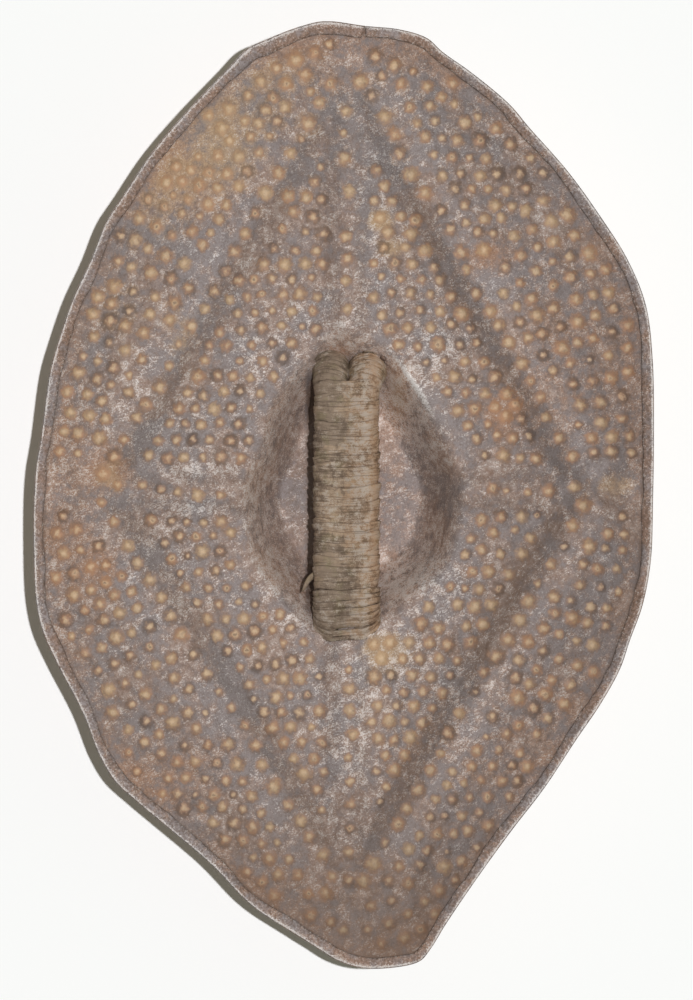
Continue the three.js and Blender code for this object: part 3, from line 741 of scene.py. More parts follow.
def nearest_pit(x, z, pits):
    """For each place, the number of the pit that it lies deepest in, by the distance over the pit's
    radius."""
    pit_x, pit_z, radius = pits
    flat_x, flat_z = x.ravel(), z.ravel()
    parts = np.array_split(np.arange(flat_x.size), max(1, flat_x.size // 4000))
    number = []
    for part in parts:
        off_x, off_z = (flat_x[part, None] - pit_x) / radius, (flat_z[part, None] - pit_z) / radius
        number.append(np.argmin(off_x**2 + off_z**2, axis=1))
    return np.concatenate(number).reshape(x.shape)


def pit_depth(share):
    """Depth over the full depth: a bowl with a rounded floor, whose wall eases out at its lip, and a low
    lip."""
    bowl = 1 - ease(share, 0.12, 1.02)
    lip = np.exp(-(((share - 1.12) / 0.22) ** 2)) * 0.1
    return bowl - lip


def add_piece(name, points, faces, nodes, material, attributes=None):
    """A mesh piece that rides on the root body and stands for CAD nodes. attributes are named vectors, one
    per point or one per corner of the faces."""
    mesh = bpy.data.meshes.new(name)
    mesh.from_pydata(points.reshape(-1, 3).tolist(), [], faces)
    for key, values in (attributes or {}).items():
        domain = "POINT" if len(values) == len(mesh.vertices) else "CORNER"
        layer = mesh.attributes.new(key, "FLOAT_VECTOR", domain)
        layer.data.foreach_set("vector", np.asarray(values, np.float32).ravel())
    mesh.materials.append(material)
    mesh.shade_smooth()
    mesh.validate()
    piece = bpy.data.objects.new(name, mesh)
    bpy.context.scene.collection.objects.link(piece)
    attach(piece, "root")
    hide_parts(*nodes)
    return piece


def disc_grid(cells):
    """Concentric map of a square grid onto the unit disc: each square round the middle becomes a circle.
    Returns the grid's places, its quads and its border, anticlockwise."""
    line = np.linspace(-1, 1, cells + 1)
    a, b = np.meshgrid(line, line, indexing="ij")
    wide = np.abs(a) >= np.abs(b)
    radius = np.where(wide, a, b)
    ratio = np.divide(np.where(wide, b, a), radius, out=np.zeros_like(a), where=radius != 0)
    angle = np.where(wide, ratio * math.pi / 4, math.pi / 2 - ratio * math.pi / 4)
    number = np.arange((cells + 1) ** 2).reshape(cells + 1, cells + 1)
    quads = np.stack([number[:-1, :-1], number[1:, :-1], number[1:, 1:], number[:-1, 1:]], -1).reshape(-1, 4)
    border = np.concatenate([number[:-1, 0], number[-1, :-1], number[:0:-1, -1], number[0, :0:-1]])
    return radius * np.cos(angle), radius * np.sin(angle), quads, border


def stitch(first, second):
    """Triangles that join two closed rows of points, which run the same way round from the same place, the
    first having as many points as the second or more. Each edge of the first goes to the point of the
    second beside it, and each edge of the second to the point of the first where that changes."""
    edges = np.arange(len(first))
    beside = np.rint((edges + 0.5) * len(second) / len(first)).astype(int) % len(second)
    fans = np.stack([np.roll(first, -1), first, second[beside]], -1)
    before = np.roll(beside, 1)
    changes = before != beside
    gaps = np.stack([second[before[changes]], second[beside[changes]], first[changes]], -1)
    return np.concatenate([fans, gaps])


def soft_spots(x, z, spots):
    """Sum of soft round spots, each an x, z, two half sizes in millimetres and a strength."""
    total = np.zeros_like(x)
    for spot_x, spot_z, half_x, half_z, strength in spots:
        reach_x, reach_z = (x / MM - spot_x) / half_x, (z / MM - spot_z) / half_z
        total = total + strength * np.exp(-(reach_x**2 + reach_z**2))
    return total


# Dusty, rusty, dark and worn places of the sheet: x, z, half width, half height, strength
DUSTY_SPOTS = [
    (-90, 232, 34, 36, 0.62), (-125, 195, 26, 30, 0.5), (-55, 275, 30, 14, 0.3), (22, 178, 9, 7, 1.2),
    (30, 160, 9, 6, 0.9), (-155, 10, 12, 14, 0.7), (176, 4, 18, 10, 0.9), (24, -104, 18, 14, 1.0),
    (34, 62, 10, 22, 0.8), (-108, 100, 14, 26, 0.5), (0, 250, 120, 60, 0.3), (60, 120, 60, 60, 0.12),
    (60, -160, 60, 60, 0.2), (-50, 170, 50, 60, 0.12), (150, 120, 40, 60, 0.12), (-150, 120, 30, 40, 0.35),
]
RUSTY_SPOTS = [
    (-110, 215, 30, 30, 0.6), (-155, 14, 14, 14, 1.0), (-180, -20, 20, 60, 0.6), (-160, -48, 12, 12, 0.7),
    (-5, 92, 9, 6, 1.3), (102, 52, 12, 14, 1.0), (30, -290, 60, 22, 0.3), (-60, -262, 90, 24, 0.3),
    (100, -160, 70, 40, 0.3), (150, 80, 40, 60, 0.35), (0, 285, 120, 26, 0.3), (-130, -185, 50, 20, 0.5),
    (95, 155, 14, 10, 0.8), (34, 64, 9, 20, 1.3), (30, -5, 30, 60, 0.35),
]
# Painted shade: darker towards the bottom and along the inside of the lozenge's lower right side; the rest
# are darker tones
SHADED_AND_DARK_SPOTS = [
    (20, -305, 170, 90, 0.75), (170, -120, 70, 120, 0.1), (-130, -160, 60, 60, 0.06),
    (190, 60, 30, 200, 0.08), (110, -72, 26, 34, 0.16), (84, -118, 24, 34, 0.16), (56, -166, 20, 40, 0.12),
    (-150, -40, 60, 120, 0.06),
]
WORN_SPOTS = [
    (47, 74, 13, 20, 0.7), (52, 30, 14, 24, 0.5), (-94, 14, 26, 6, 0.9), (-92, -11, 28, 6, 0.8),
    (60, -60, 20, 14, 0.9), (-30, -80, 22, 12, 0.7), (22, 190, 14, 70, 0.5), (60, 100, 26, 20, 0.7),
    (-190, 0, 12, 220, 0.35), (-60, 90, 20, 22, 0.5), (30, -110, 24, 16, 0.7), (60, -130, 60, 50, 0.35),
    (-20, 110, 30, 16, 0.6), (-150, -30, 60, 70, 0.3), (0, -170, 20, 60, 0.5), (120, 250, 60, 60, 0.2),
    (-120, 60, 60, 30, 0.3),
]
# Places in the hollow with more painted light, and with a strength below 0 painted shade
HOLLOW_PAINTED_LIGHT_AND_SHADE = [
    (30, 52, 12, 18, 1.15), (31, -54, 13, 15, 0.95), (46, -20, 10, 16, 0.3), (-35, 2, 11, 40, -0.42),
]
# The stretches of the brow with wear and a painted highlight: direction from the middle, half width, both in
# degrees, and strength
BROW_WEAR_AND_HIGHLIGHT_ARCS = [(57, 20, 1.3), (-48, 18, 0.6), (-130, 16, 0.7), (128, 14, 0.55)]


class SHIELD_OT_plate(bpy.types.Operator):
    """Make the hammered sheet: its back and front skins with the pits, joined round the rim"""

    bl_idname = "iron_shield.plate"
    bl_label = "Hammered sheet"

    back_cells = 249
    front_cells = 189
    edge_inset = 0.9 * MM
    # The front's bumps are a little wider than the back's pits
    front_narrowing = 0.9

    def skin(self, cells, sizes, pits, is_front):
        """A skin over the whole sheet: the disc stretched to the rim along each ray, at the smooth level
        plus the pits' depth and the hammer's low dents, and for the front also the thickness along the
        normal. Returns its points, quads and border, and the points' places on the back."""
        disc_x, disc_z, quads, border = disc_grid(cells)
        edge = reach(RIM, disc_x, disc_z) - self.edge_inset
        x, z = disc_x * edge, disc_z * edge
        number = nearest_pit(x, z, pits)
        pit_x, pit_z, radius = (values[number] for values in pits)
        share = np.hypot((x - pit_x) / radius, (z - pit_z) / radius)
        share = share * (self.front_narrowing if is_front else 1)
        depth = sizes.pit_depth * (radius / sizes.pit_radius) * pit_depth(share)
        dents = (ripple(21, 17 * MM)(x, z) * 0.6 + ripple(22, 8 * MM)(x, z) * 0.4) * sizes.dent_depth
        inside = (1 - np.hypot(disc_x, disc_z)) * edge
        points = np.stack([x, back_level(x, z), z], -1)
        if is_front:
            points = points + front_normal(x, z) * sizes.thickness
        points[..., 1] += (depth + dents) * ease(inside, sizes.hem_width * 0.6, sizes.hem_width * 2.2)
        return points.reshape(-1, 3), quads, border, np.stack([x, z], -1).reshape(-1, 2)

    def traits(self, count):
        """A tone, the core's share of the radius and a ring's darkness for each pit; a few have a small
        core in a dark ring."""
        rng = np.random.default_rng(3)
        tone = rng.uniform(0, 1, count)
        darkness = rng.uniform(0, 1, count) ** 3.5
        core = 0.8 - 0.3 * darkness + rng.normal(0, 0.09, count)
        return np.stack([tone, np.clip(core, 0.34, 0.9), darkness], -1)

    def marks(self, places, faces, pits, traits):
        """Per corner of each face, all by the pit nearest to the face's middle: the offset from that pit's
        middle over its radius, and that pit's traits."""
        corners = places[faces]
        number = nearest_pit(*corners.mean(1).T, pits)
        pit_x, pit_z, radius = (values[number][:, None] for values in pits)
        offset = (corners - np.stack([pit_x, pit_z], -1)) / radius[..., None]
        return np.pad(offset.reshape(-1, 2), ((0, 0), (0, 1))), np.repeat(traits[number], faces.shape[1], 0)

    def colours(self, points, behind, sizes):
        """Per point: dust, rust and wear, then the painted shade (in the crevice by the hem, under the grip's
        left side and in darker places) less the painted light on the hollow's walls, the painted shade in
        strips inside the lozenge's sides, and the brow's wear with its painted highlight. behind is 1 on the
        back skin, which alone has the hollow's painted light, the grip's painted shadow and the brow's wear
        and highlight, and 0 on the front."""
        x, _, z = points.T
        from_middle = np.hypot(x, z)
        inside = reach(RIM, x, z) - from_middle
        brow = reach(BROW, x, z)
        past = from_middle - brow
        turn = np.degrees(np.arctan2(z, x))
        # Painted shade in the crevice along the hem's inner side
        painted_shade_and_light = 0.65 - 0.65 * ease(inside, sizes.hem_width, sizes.hem_width + 1.8 * MM)
        # Painted light on the hollow's walls, against their shade: more on the walls than on the floor, and
        # least at the right, where the walls face away from the light
        floor = 1 - ease(from_middle / brow, 0.55, 0.85)
        rightness = np.exp(-((turn / 34) ** 2))
        dusty = (1 - ease(past, -4 * MM, 3 * MM)) * (1 - 0.85 * floor) * (1 - 0.65 * rightness)
        painted_shade_and_light = painted_shade_and_light - behind * (dusty + soft_spots(x, z, HOLLOW_PAINTED_LIGHT_AND_SHADE)) + soft_spots(x, z, SHADED_AND_DARK_SPOTS)
        # Painted shadow of the grip: a dark strip on the floor under the grip's left side and just past it,
        # where its shadow falls
        under = ease(x, -28 * MM, -25 * MM) * (1 - ease(x, -6 * MM, 4 * MM))
        under = under * (1 - ease(np.abs(z), 60 * MM, 90 * MM))
        painted_shade_and_light = painted_shade_and_light + (0.9 - painted_shade_and_light) * behind * under
        # Wear and a painted highlight along the brow, strongest at its upper right
        facing = 0.05 + sum(
            share * np.exp(-(((turn - middle) / half) ** 2)) for middle, half, share in BROW_WEAR_AND_HIGHLIGHT_ARCS
        )
        brow_wear_and_highlight = behind * np.exp(-(((past - 0.5 * MM) / (3.2 * MM)) ** 2)) * facing
        rust = soft_spots(x, z, RUSTY_SPOTS) + (1 - ease(inside, 10 * MM, 26 * MM)) * 0.3
        # Painted shade in strips inside the lozenge's sides, where the ridge's slopes face away from the
        # light, mostly at the right
        within = (from_middle < reach(LOZENGE_LOOP, x, z)) & (past > 0)
        painted_slope_shade = np.exp(-(((lozenge_distance(x, z) - 11 * MM) / (8 * MM)) ** 2)) * within
        painted_slope_shade = painted_slope_shade * (0.15 + 0.95 * ease(x, -20 * MM, 40 * MM)) * (1 - ease(z, 160 * MM, 220 * MM))
        zone = np.stack([soft_spots(x, z, DUSTY_SPOTS), rust, soft_spots(x, z, WORN_SPOTS)], -1)
        return zone, np.stack([painted_shade_and_light, painted_slope_shade, brow_wear_and_highlight], -1)

    def execute(self, context):
        sizes = settings().plate
        pits = pit_rows(sizes)
        back, back_quads, back_border, back_places = self.skin(self.back_cells, sizes, pits, False)
        front, front_quads, front_border, front_places = self.skin(self.front_cells, sizes, pits, True)
        rim = stitch(back_border, front_border + len(back))
        points = np.clip(np.concatenate([back, front]), CAD_LOW, CAD_HIGH)
        quads = np.concatenate([back_quads, front_quads[:, ::-1] + len(back)])
        zone, edge = self.colours(points, np.arange(len(points)) < len(back), sizes)
        places = np.concatenate([back_places, front_places])
        traits = self.traits(len(pits[0]))
        marks = [self.marks(places, some, pits, traits) for some in (quads, rim)]
        pit, trait = (np.concatenate(pair) for pair in zip(*marks))
        add_piece(
            "hammered_plate", points, [*quads.tolist(), *rim.tolist()], ["shield_plate"],
            sheet_finish(sizes), {"pit": pit, "trait": trait, "zone": zone, "edge": edge},
        )
        return {"FINISHED"}


def tube_faces(rings, corners):
    """Quads between rings of as many corners each, and fans to a last two points that close both ends."""
    number = np.arange(rings * corners).reshape(rings, corners)
    ahead = np.roll(number, -1, 1)
    quads = np.stack([number[:-1], ahead[:-1], ahead[1:], number[1:]], -1).reshape(-1, 4)
    start = np.stack([np.full(corners, rings * corners), ahead[0], number[0]], -1)
    end = np.stack([np.full(corners, rings * corners + 1), number[-1], ahead[-1]], -1)
    return [*quads.tolist(), *start.tolist(), *end.tolist()]


def outward(points, faces):
    """The faces, turned round if the closed shape's volume says that they face inwards."""
    total = 0.0
    for size in (3, 4):
        some = np.array([face for face in faces if len(face) == size])
        for last in range(2, size) if len(some) else ():
            a, b, c = points[some[:, 0]], points[some[:, last - 1]], points[some[:, last]]
            total += float(np.einsum("ij,ij->", a, np.cross(b, c)))
    return faces if total > 0 else [face[::-1] for face in faces]


def close_tube(rings):
    """Points and faces of a tube through rings, its ends closed at their middles."""
    count, corners = rings.shape[:2]
    points = np.concatenate([rings.reshape(-1, 3), rings[0].mean(0)[None], rings[-1].mean(0)[None]])
    return points, outward(points, tube_faces(count, corners))


def on_tube(rings, *values):
    """A vector per point of a closed tube, from three values per ring, per corner or the same for all."""
    rows = np.stack([np.broadcast_to(value, rings.shape[:2]) for value in values], -1).reshape(-1, 3)
    return np.concatenate([rows, rows[:1], rows[-1:]])


# The turned edge's section: share of the width inwards, height off the sheet towards the holder, and wear,
# highest on the rounded fold, where the pale specks are both wear and a painted highlight
HEM_SECTION = np.array([
    (1.0, 0.3, 0.3), (1.03, 0.75, 0.5), (1.0, 1.25, 0.5), (0.9, 1.52, 0.2), (0.7, 1.56, 0.1),
    (0.45, 1.56, 0.2), (0.28, 1.54, 0.5), (0.12, 1.35, 1.4), (0.03, 0.8, 0.1), (0.0, -0.1, 0.0),
    (0.02, -0.9, 0.2), (0.1, -1.5, 0.9), (0.25, -1.72, 0.5), (0.36, -1.6, 0.1), (0.3, -0.6, 0.0),
    (0.3, 0.05, 0.0), (0.6, 0.1, 0.0),
])


class SHIELD_OT_turned_edge(bpy.types.Operator):
    """Make the edge of the sheet, turned over to the back as a flat hem with a split at the top"""

    bl_idname = "iron_shield.turned_edge"
    bl_label = "Turned edge"

    stations = 1100
    split_x = 12 * MM
    split_width = 2.6 * MM
    split_fade = 4 * MM
    smoothing = 3 * MM

    def execute(self, context):
        sizes = settings().plate
        # The rim by its length, clockwise from the split
        loop = np.concatenate([RIM, RIM[:1]])
        gone = np.concatenate([[0], np.cumsum(np.hypot(*np.diff(loop, axis=0).T))])
        length = gone[-1]
        top = np.flatnonzero(RIM[:, 1] > 0)
        begin = gone[top[np.argmin(np.abs(RIM[top, 0] - self.split_x))]]

        def rim_at(along):
            """Places at lengths along the rim, straight between its points."""
            return np.stack([np.interp(along % length, gone, loop[:, axis]) for axis in (0, 1)], -1)

        place = np.linspace(0, 1, self.stations)
        wobble = ripple(31, 38 * MM)(place * length, 0) * 0.75 + ripple(32, 15 * MM)(place * length, 0) * 0.25
        # It is widest a little before its end
        widest = np.exp(-(((place - 0.965) / 0.03) ** 2))
        width = sizes.hem_width * (1 + 0.1 * wobble) * (1 + 0.28 * widest)
        lift = sizes.hem_lift * (1 + 0.35 * ripple(33, 40 * MM)(place * length, 0))
        inward_share, rise, wear = HEM_SECTION.T
        # The split opens towards the hem's inner side
        opening = np.exp(-place * length / self.split_fade) - np.exp(-(1 - place) * length / self.split_fade)
        along = begin + place[:, None] * length + opening[:, None] * inward_share * self.split_width / 2
        # Inwards is square to the rim
        run = unit(rim_at(along + self.smoothing) - rim_at(along - self.smoothing))
        inward = np.stack([run[..., 1], -run[..., 0]], -1) * (inward_share * width[:, None])[..., None]
        x, z = np.moveaxis(rim_at(along) + inward, -1, 0)
        dents = ripple(34, 11 * MM)(x, z) * 0.12 * MM
        height = rise * MM + lift[:, None] * ease(inward_share, 0.1, 1.0) * (rise > 0) + dents * (rise > 0.2)
        rings = np.clip(np.stack([x, back_level(x, z) - height, z], -1), CAD_LOW, CAD_HIGH)
        points, faces = close_tube(rings)
        band = on_tube(rings, inward_share, wear, 0)
        finish = hem_finish(sizes)
        add_piece("turned_edge", points, faces, ["shield_plate"], finish, {"band": band})
        return {"FINISHED"}


# The grip's line


X_AXIS = np.array([1.0, 0, 0])


def bar_end(length):
    """Length from the middle at which the grip's straight part ends, on a length's side."""
    return np.where(length >= 0, BAR_TOP, BAR_BOTTOM)


def grip_frame(length):
    """Places, directions along and directions to the holder at lengths up the grip from its middle:
    straight, then an arc that turns to the front, then straight again."""
    sign = np.where(length >= 0, 1.0, -1.0)
    tilt = np.where(length >= 0, TOP_TILT, BOTTOM_TILT)
    past = np.maximum(0, np.abs(length) - bar_end(length))
    turned = np.minimum(past / BEND_RADIUS, tilt)
    leg = np.maximum(0, past - BEND_RADIUS * tilt)
    sine, cosine = np.sin(turned), np.cos(turned)
    y = BEND_RADIUS * (1 - cosine) + leg * sine
    z = sign * (np.minimum(np.abs(length), bar_end(length)) + BEND_RADIUS * sine + leg * cosine)
    nought = np.zeros_like(y)
    place = np.stack([nought, y, z], -1)
    return place, np.stack([nought, sign * sine, cosine], -1), np.stack([nought, -cosine, sign * sine], -1)


def bend_room(length, rise):
    """How much wider than on the line things may be at a rise off it, on the outside of a bend."""
    return 1 + ease(np.abs(length) - bar_end(length), -2 * MM, 4 * MM) * rise / BEND_RADIUS


def rod_x(side, length):
    """X of a rod's middle: the right rod leans out at its top."""
    lean = TOP_SPLAY * ease(length, BAR_TOP, BAR_TOP + BEND_RADIUS) if side > 0 else 0
    return side * ROD_SPACING / 2 + lean


def rod_line(side, lengths):
    """Places on a rod's middle line and the directions to the holder there."""
    place, _, holder = grip_frame(lengths)
    place[:, 0] = rod_x(side, lengths)
    return place, holder


def crossing(side, end, raise_by):
    """Length up the grip at which a rod's middle first passes a level of the sheet, raised towards the
    front."""
    lengths = end * np.linspace(50 * MM, 125 * MM, 1501)
    place, _ = rod_line(side, lengths)
    return lengths[np.argmax(place[:, 1] > back_level(place[:, 0], place[:, 2]) + raise_by)]


def seat_of(side, end, radius):
    """Length up the grip at which a disc square to a rod last clears the back of the sheet."""
    lengths = end * np.linspace(50 * MM, 115 * MM, 1301)
    rim = round_tube(side, lengths, radius, 24)
    clear = (rim[..., 1] < back_level(rim[..., 0], rim[..., 2]) - SEAT).all(1)
    return lengths[np.argmin(clear) - 1]


def round_tube(side, lengths, radii, corners):
    """Rings square to a rod's line."""
    place, holder = rod_line(side, lengths)
    return circles(place[:, None], radii, corners, X_AXIS, holder[:, None])


def off_sheet(points):
    """Points, moved towards the holder where they would come closer to the sheet's back than a seat's gap."""
    points[..., 1] = np.minimum(points[..., 1], back_level(points[..., 0], points[..., 2]) - SEAT)
    return points


def rivet_head(side, end, thickness):
    """A hammered head on the front round a rod's end: a dome over the sheet, its height the root of one
    less the square of the way out, with facets left by the hammer."""
    (middle,), _ = rod_line(side, np.array([crossing(side, end, thickness)]))
    normal, first, second = square_frame(middle[0], middle[2])
    way = np.concatenate([np.linspace(0, 0.9, 10)[1:], [0.97, 1.0, 1.0]])
    angle = around(28)
    wobble = 1 + 0.05 * np.sin(3 * angle + side + end) + 0.03 * np.sin(5 * angle + 2 * end)
    flat = circles(middle, way[:, None] * wobble * RIVET_RADIUS, len(angle), first, second)
    off = (back_level(flat[..., 0], flat[..., 2]) + thickness / normal[1] - flat[..., 1]) * normal[1]
    dome = RIVET_HEIGHT * np.sqrt(np.clip(1 - way**2, 0, 1))[:, None]
    dome = dome * (0.88 + 0.07 * np.cos(2 * angle + side)) + 0.3 * MM
    # The last ring lies inside the sheet
    dome[-1] = -1.0 * MM
    points = flat + (off + dome)[..., None] * normal
    return close_tube(points[::-1])


def join_shapes(*shapes):
    """One mesh of several closed shapes."""
    points, faces, gone = [], [], 0
    for some_points, some_faces in shapes:
        points.append(some_points)
        faces += [[corner + gone for corner in face] for face in some_faces]
        gone += len(some_points)
    return np.concatenate(points), faces


class SHIELD_OT_rods(bpy.types.Operator):
    """Make the two iron rods of the grip, riveted over on the front"""

    bl_idname = "iron_shield.rods"
    bl_label = "Grip rods"

    def execute(self, context):
        thickness = settings().plate.thickness
        material = forged_finish(settings().plate, settings().grip.iron)
        for side, name in ((-1, "left"), (1, "right")):
            lengths = np.linspace(crossing(side, -1, thickness), crossing(side, 1, thickness), 120)
            radii = ROD_RADIUS + ripple(41 + side, 14 * MM)(lengths, 0) * 0.12 * MM
            shaft = close_tube(round_tube(side, lengths, radii[:, None], 20))
            points, faces = join_shapes(shaft, *(rivet_head(side, end, thickness) for end in (1, -1)))
            points = np.clip(points, CAD_LOW, CAD_HIGH)
            add_piece(f"{name}_rod", points, faces, [f"{name}_grip_rod"], material)
        return {"FINISHED"}


class SHIELD_OT_paddings(bpy.types.Operator):
    """Make the hide round each rod, which ends against the back of the sheet"""

    bl_idname = "iron_shield.paddings"
    bl_label = "Rod paddings"

    corners = 28
    # Its low end is thinner, so that the turns of the lower thong cover it
    thinning = 2.6 * MM

    def execute(self, context):
        material = padding_finish(settings().grip)
        for side, name in ((-1, "left"), (1, "right")):
            low = seat_of(side, -1, ROD_RADIUS) - PADDING_RADIUS
            high = seat_of(side, 1, ROD_RADIUS) + PADDING_RADIUS
            lengths = np.linspace(low, high, 150)
            lumps = ripple(51 + side, 9 * MM)(lengths[:, None], around(self.corners) * PADDING_RADIUS)
            thinned = self.thinning * (1 - ease(lengths, low + 6 * MM, low + 16 * MM))[:, None]
            radii = PADDING_RADIUS - 0.35 * MM + lumps * 0.25 * MM - thinned
            points, faces = close_tube(off_sheet(round_tube(side, lengths, radii, self.corners)))
            add_piece(f"{name}_padding", points, faces, [f"{name}_rod_padding"], material)
        return {"FINISHED"}


# Thong


def pair_turn(share, length, radius):
    """Across and rise of a turn round both rods, from the underside of the right one: three quarters of its
    way goes round the rods, and the rest crosses between them with a sagging waist."""
    half = (share * 2) % 1
    on_right = (share % 1) < 0.5
    left, right = rod_x(-1, length), rod_x(1, length)
    rounding = half <= 0.75
    angle = math.pi * half / 0.75 + np.where(on_right, -math.pi / 2, math.pi / 2)
    crossing_share = np.clip((half - 0.75) / 0.25, 0, 1)
    start, end = np.where(on_right, right, left), np.where(on_right, left, right)
    rise = (radius - WAIST_DIP * np.sin(math.pi * crossing_share)) * np.where(on_right, 1, -1)
    across = np.where(rounding, start + radius * np.cos(angle), start + (end - start) * crossing_share)
    return across, np.where(rounding, radius * np.sin(angle), rise)


def single_turn(side):
    def turn(share, length, radius):
        """Across and rise of a turn round one rod, from its underside."""
        angle = 2 * math.pi * share - math.pi / 2
        past_bend = ease(length, BAR_TOP + 14 * MM, BAR_TOP + 22 * MM)
        swell = 1.4 * MM * np.maximum(0, -side * np.cos(angle)) * past_bend
        return rod_x(side, length) + radius * np.cos(angle) - side * swell, radius * np.sin(angle)

    return turn


# The thong's section: share across, share of the thickness. Each turn laps over the next with its lower side
SECTION = np.array([
    (-1.0, -0.1), (-0.82, -0.5), (-0.3, -0.55), (0.3, -0.55), (0.82, -0.5), (1.0, -0.1), (0.86, 0.32),
    (0.5, 0.5), (0.0, 0.55), (-0.5, 0.5), (-0.86, 0.32),
])
LAP = 0.35
# The windings start and end on the hidden underside, this share of a turn before their first
TURN_START = 0.08
# Dirt between the rods, and the painted highlight in a stripe along the grip's right edge, which faces the
# light
GROOVE_WIDTH = 2.6 * MM
STRIPE_X = 18 * MM
STRIPE_WIDTH = 2.6 * MM

# Lighter and darker places of the grip's winding: x, z, half width, half height, strength
GRIP_SPOTS = [
    (-14, 62, 9, 22, -0.45), (6, 26, 9, 14, 0.6), (-9, -14, 8, 14, 0.55), (10, -30, 10, 16, 0.3),
    (-12, -50, 10, 16, -0.35), (12, 58, 10, 12, 0.3), (18, 14, 6, 14, -0.35), (-6, 38, 7, 10, -0.35),
    (4, -66, 12, 10, -0.2), (12, 2, 7, 8, 0.45),
]


def wind(turn, shares, lengths, radius, half_width, thickness, tones, tail=np.empty((0, 3))):
    """A thong wound by a turn function. At each station its middle is the turn's across and rise at a
    length up the grip, and its section lies across the run, along the grip. tail is extra places, tapering,
    after the last."""
    place, along, holder = grip_frame(lengths)
    across, rise = turn(shares, lengths, radius)
    middle = place + holder * rise[:, None]
    middle[:, 0] = across
    width = half_width * bend_room(lengths, rise)
    facing = rise > 0
    between = (rod_x(-1, lengths) + rod_x(1, lengths)) / 2
    groove = np.exp(-(((across - between) / GROOVE_WIDTH) ** 2)) * facing
    worn = ease(across, -9 * MM, 14 * MM) * 0.8 + ease(-across, 14 * MM, 24 * MM) * 0.1
    worn = worn + soft_spots(across, place[:, 2], GRIP_SPOTS)
    # A painted highlight along the grip's right edge, which faces the light
    lit_edge_stripe = np.exp(-(((across - STRIPE_X) / STRIPE_WIDTH) ** 2)) * facing
    # The tail keeps what the last station has, and tapers
    middle = np.concatenate([middle, tail])
    width = np.concatenate([width, width[-1] * np.sqrt(1 - np.linspace(0, 0.99, len(tail)) ** 3)])
    along, tones, groove, worn, lit_edge_stripe, thickness = (
        np.concatenate([row, np.repeat(row[-1:], len(tail), 0)])
        for row in (along, tones, groove, worn, lit_edge_stripe, thickness)
    )
    run = unit(np.gradient(middle, axis=0))
    side = unit(along - run * np.einsum("ij,ij->i", along, run)[:, None])
    out = np.cross(run, side)
    sideways = SECTION[:, 0] * width[:, None]
    off = (SECTION[:, 1] - LAP * SECTION[:, 0]) * thickness[:, None]
    rings = middle[:, None] + sideways[..., None] * side[:, None] + off[..., None] * out[:, None]
    gone = np.concatenate([[0], np.cumsum(np.linalg.norm(np.diff(middle, axis=0), axis=1))])
    strand = on_tube(rings, gone[:, None], SECTION[:, 0], tones[:, None])
    grime = on_tube(rings, groove[:, None], worn[:, None], lit_edge_stripe[:, None])
    return *close_tube(rings), {"strand": strand, "grime": grime}


def per_turn(seed, shares, spread):
    """A random number for each turn, eased from one turn to the next."""
    turns = np.arange(math.ceil(shares[-1]) + 2)
    values = np.random.default_rng(seed).normal(0, spread, len(turns))
    return np.interp(shares, turns, values)


def turn_tones(seed, shares, most):
    """A random tone for each turn, from 0 to most."""
    turns = np.floor(np.maximum(shares, 0)).astype(int)
    return np.random.default_rng(seed).uniform(0, most, turns.max() + 1)[turns]


def add_thong(name, node, finish, winding):
    """The piece of a winding, kept a seat's gap off the sheet where it would come near it."""
    points, faces, attributes = winding
    add_piece(name, off_sheet(points), faces, [node], finish, attributes)


class SHIELD_OT_main_thong(bpy.types.Operator):
    """Wind the main thong round both rods, its lower end sticking out at the left"""

    bl_idname = "iron_shield.main_thong"
    bl_label = "Main thong"

    steps = 56

    def execute(self, context):
        sizes = settings().grip
        pitch = (MAIN_TOP - MAIN_BOTTOM) / (sizes.turns + 0.5)
        shares = np.linspace(-TURN_START, sizes.turns - 0.12, int(sizes.turns * self.steps))
        begun = np.maximum(shares, 0)
        # Each turn bows along the grip, some more than others, and strays from its place
        bow = 0.9 * MM * np.sin(4 * math.pi * shares) + 0.5 * MM * np.sin(2 * math.pi * shares)
        bow = bow * (1 + 0.5 * ripple(68, 1.5)(shares, 0))
        stray = per_turn(61, begun, 0.45 * MM) + bow + 0.4 * MM * ripple(67, 0.22)(shares, 0)
        lengths = MAIN_TOP - pitch / 2 - (shares + TURN_START) * pitch + stray
        radius = COIL_RADIUS - 0.25 * MM + per_turn(62, begun, 0.32 * MM)
        radius = radius + 0.2 * MM * ripple(63, 0.3)(shares, 0)
        # About every third turn stands out a little
        radius = radius + 0.45 * MM * np.sin(shares * 2 * math.pi / 3.3 + np.sin(shares * 0.9))
        half_width = pitch * (0.8 + 0.1 * ripple(64, 0.3)(shares, 0))
        thickness = sizes.thong_thickness * (1 + 0.1 * ripple(66, 0.5)(shares, 0))
        tail = self.flap(shares[-1:], lengths[-1:], radius[-1:], sizes.flap_length)
        tones = turn_tones(65, shares, 1)
        winding = wind(pair_turn, shares, lengths, radius, half_width, thickness, tones, tail)
        add_thong("grip_thong", "grip_winding", thong_finish("hide_thong", sizes, 0.0), winding)
        return {"FINISHED"}

    def flap(self, share, length, radius, past):
        """The loose end after the last station: under the turns to the left and up, then out past their
        side and down."""
        start, _, holder = grip_frame(length)
        across, rise = pair_turn(share, length, radius)
        start = start + holder * rise[:, None]
        start[:, 0] = across
        way = np.linspace(0, 1, 26)[1:, None]
        run = across[0] + ROD_SPACING / 2 + COIL_RADIUS + past
        climb = 13 * MM * np.sin(way * 2.2) - 11 * MM * way**3
        out = np.sin(way * 1.5) ** 2 * holder * 9 * MM
        return start + way * np.array([-run, 0, 0]) + climb * np.array([0, 0, 1.0]) + out


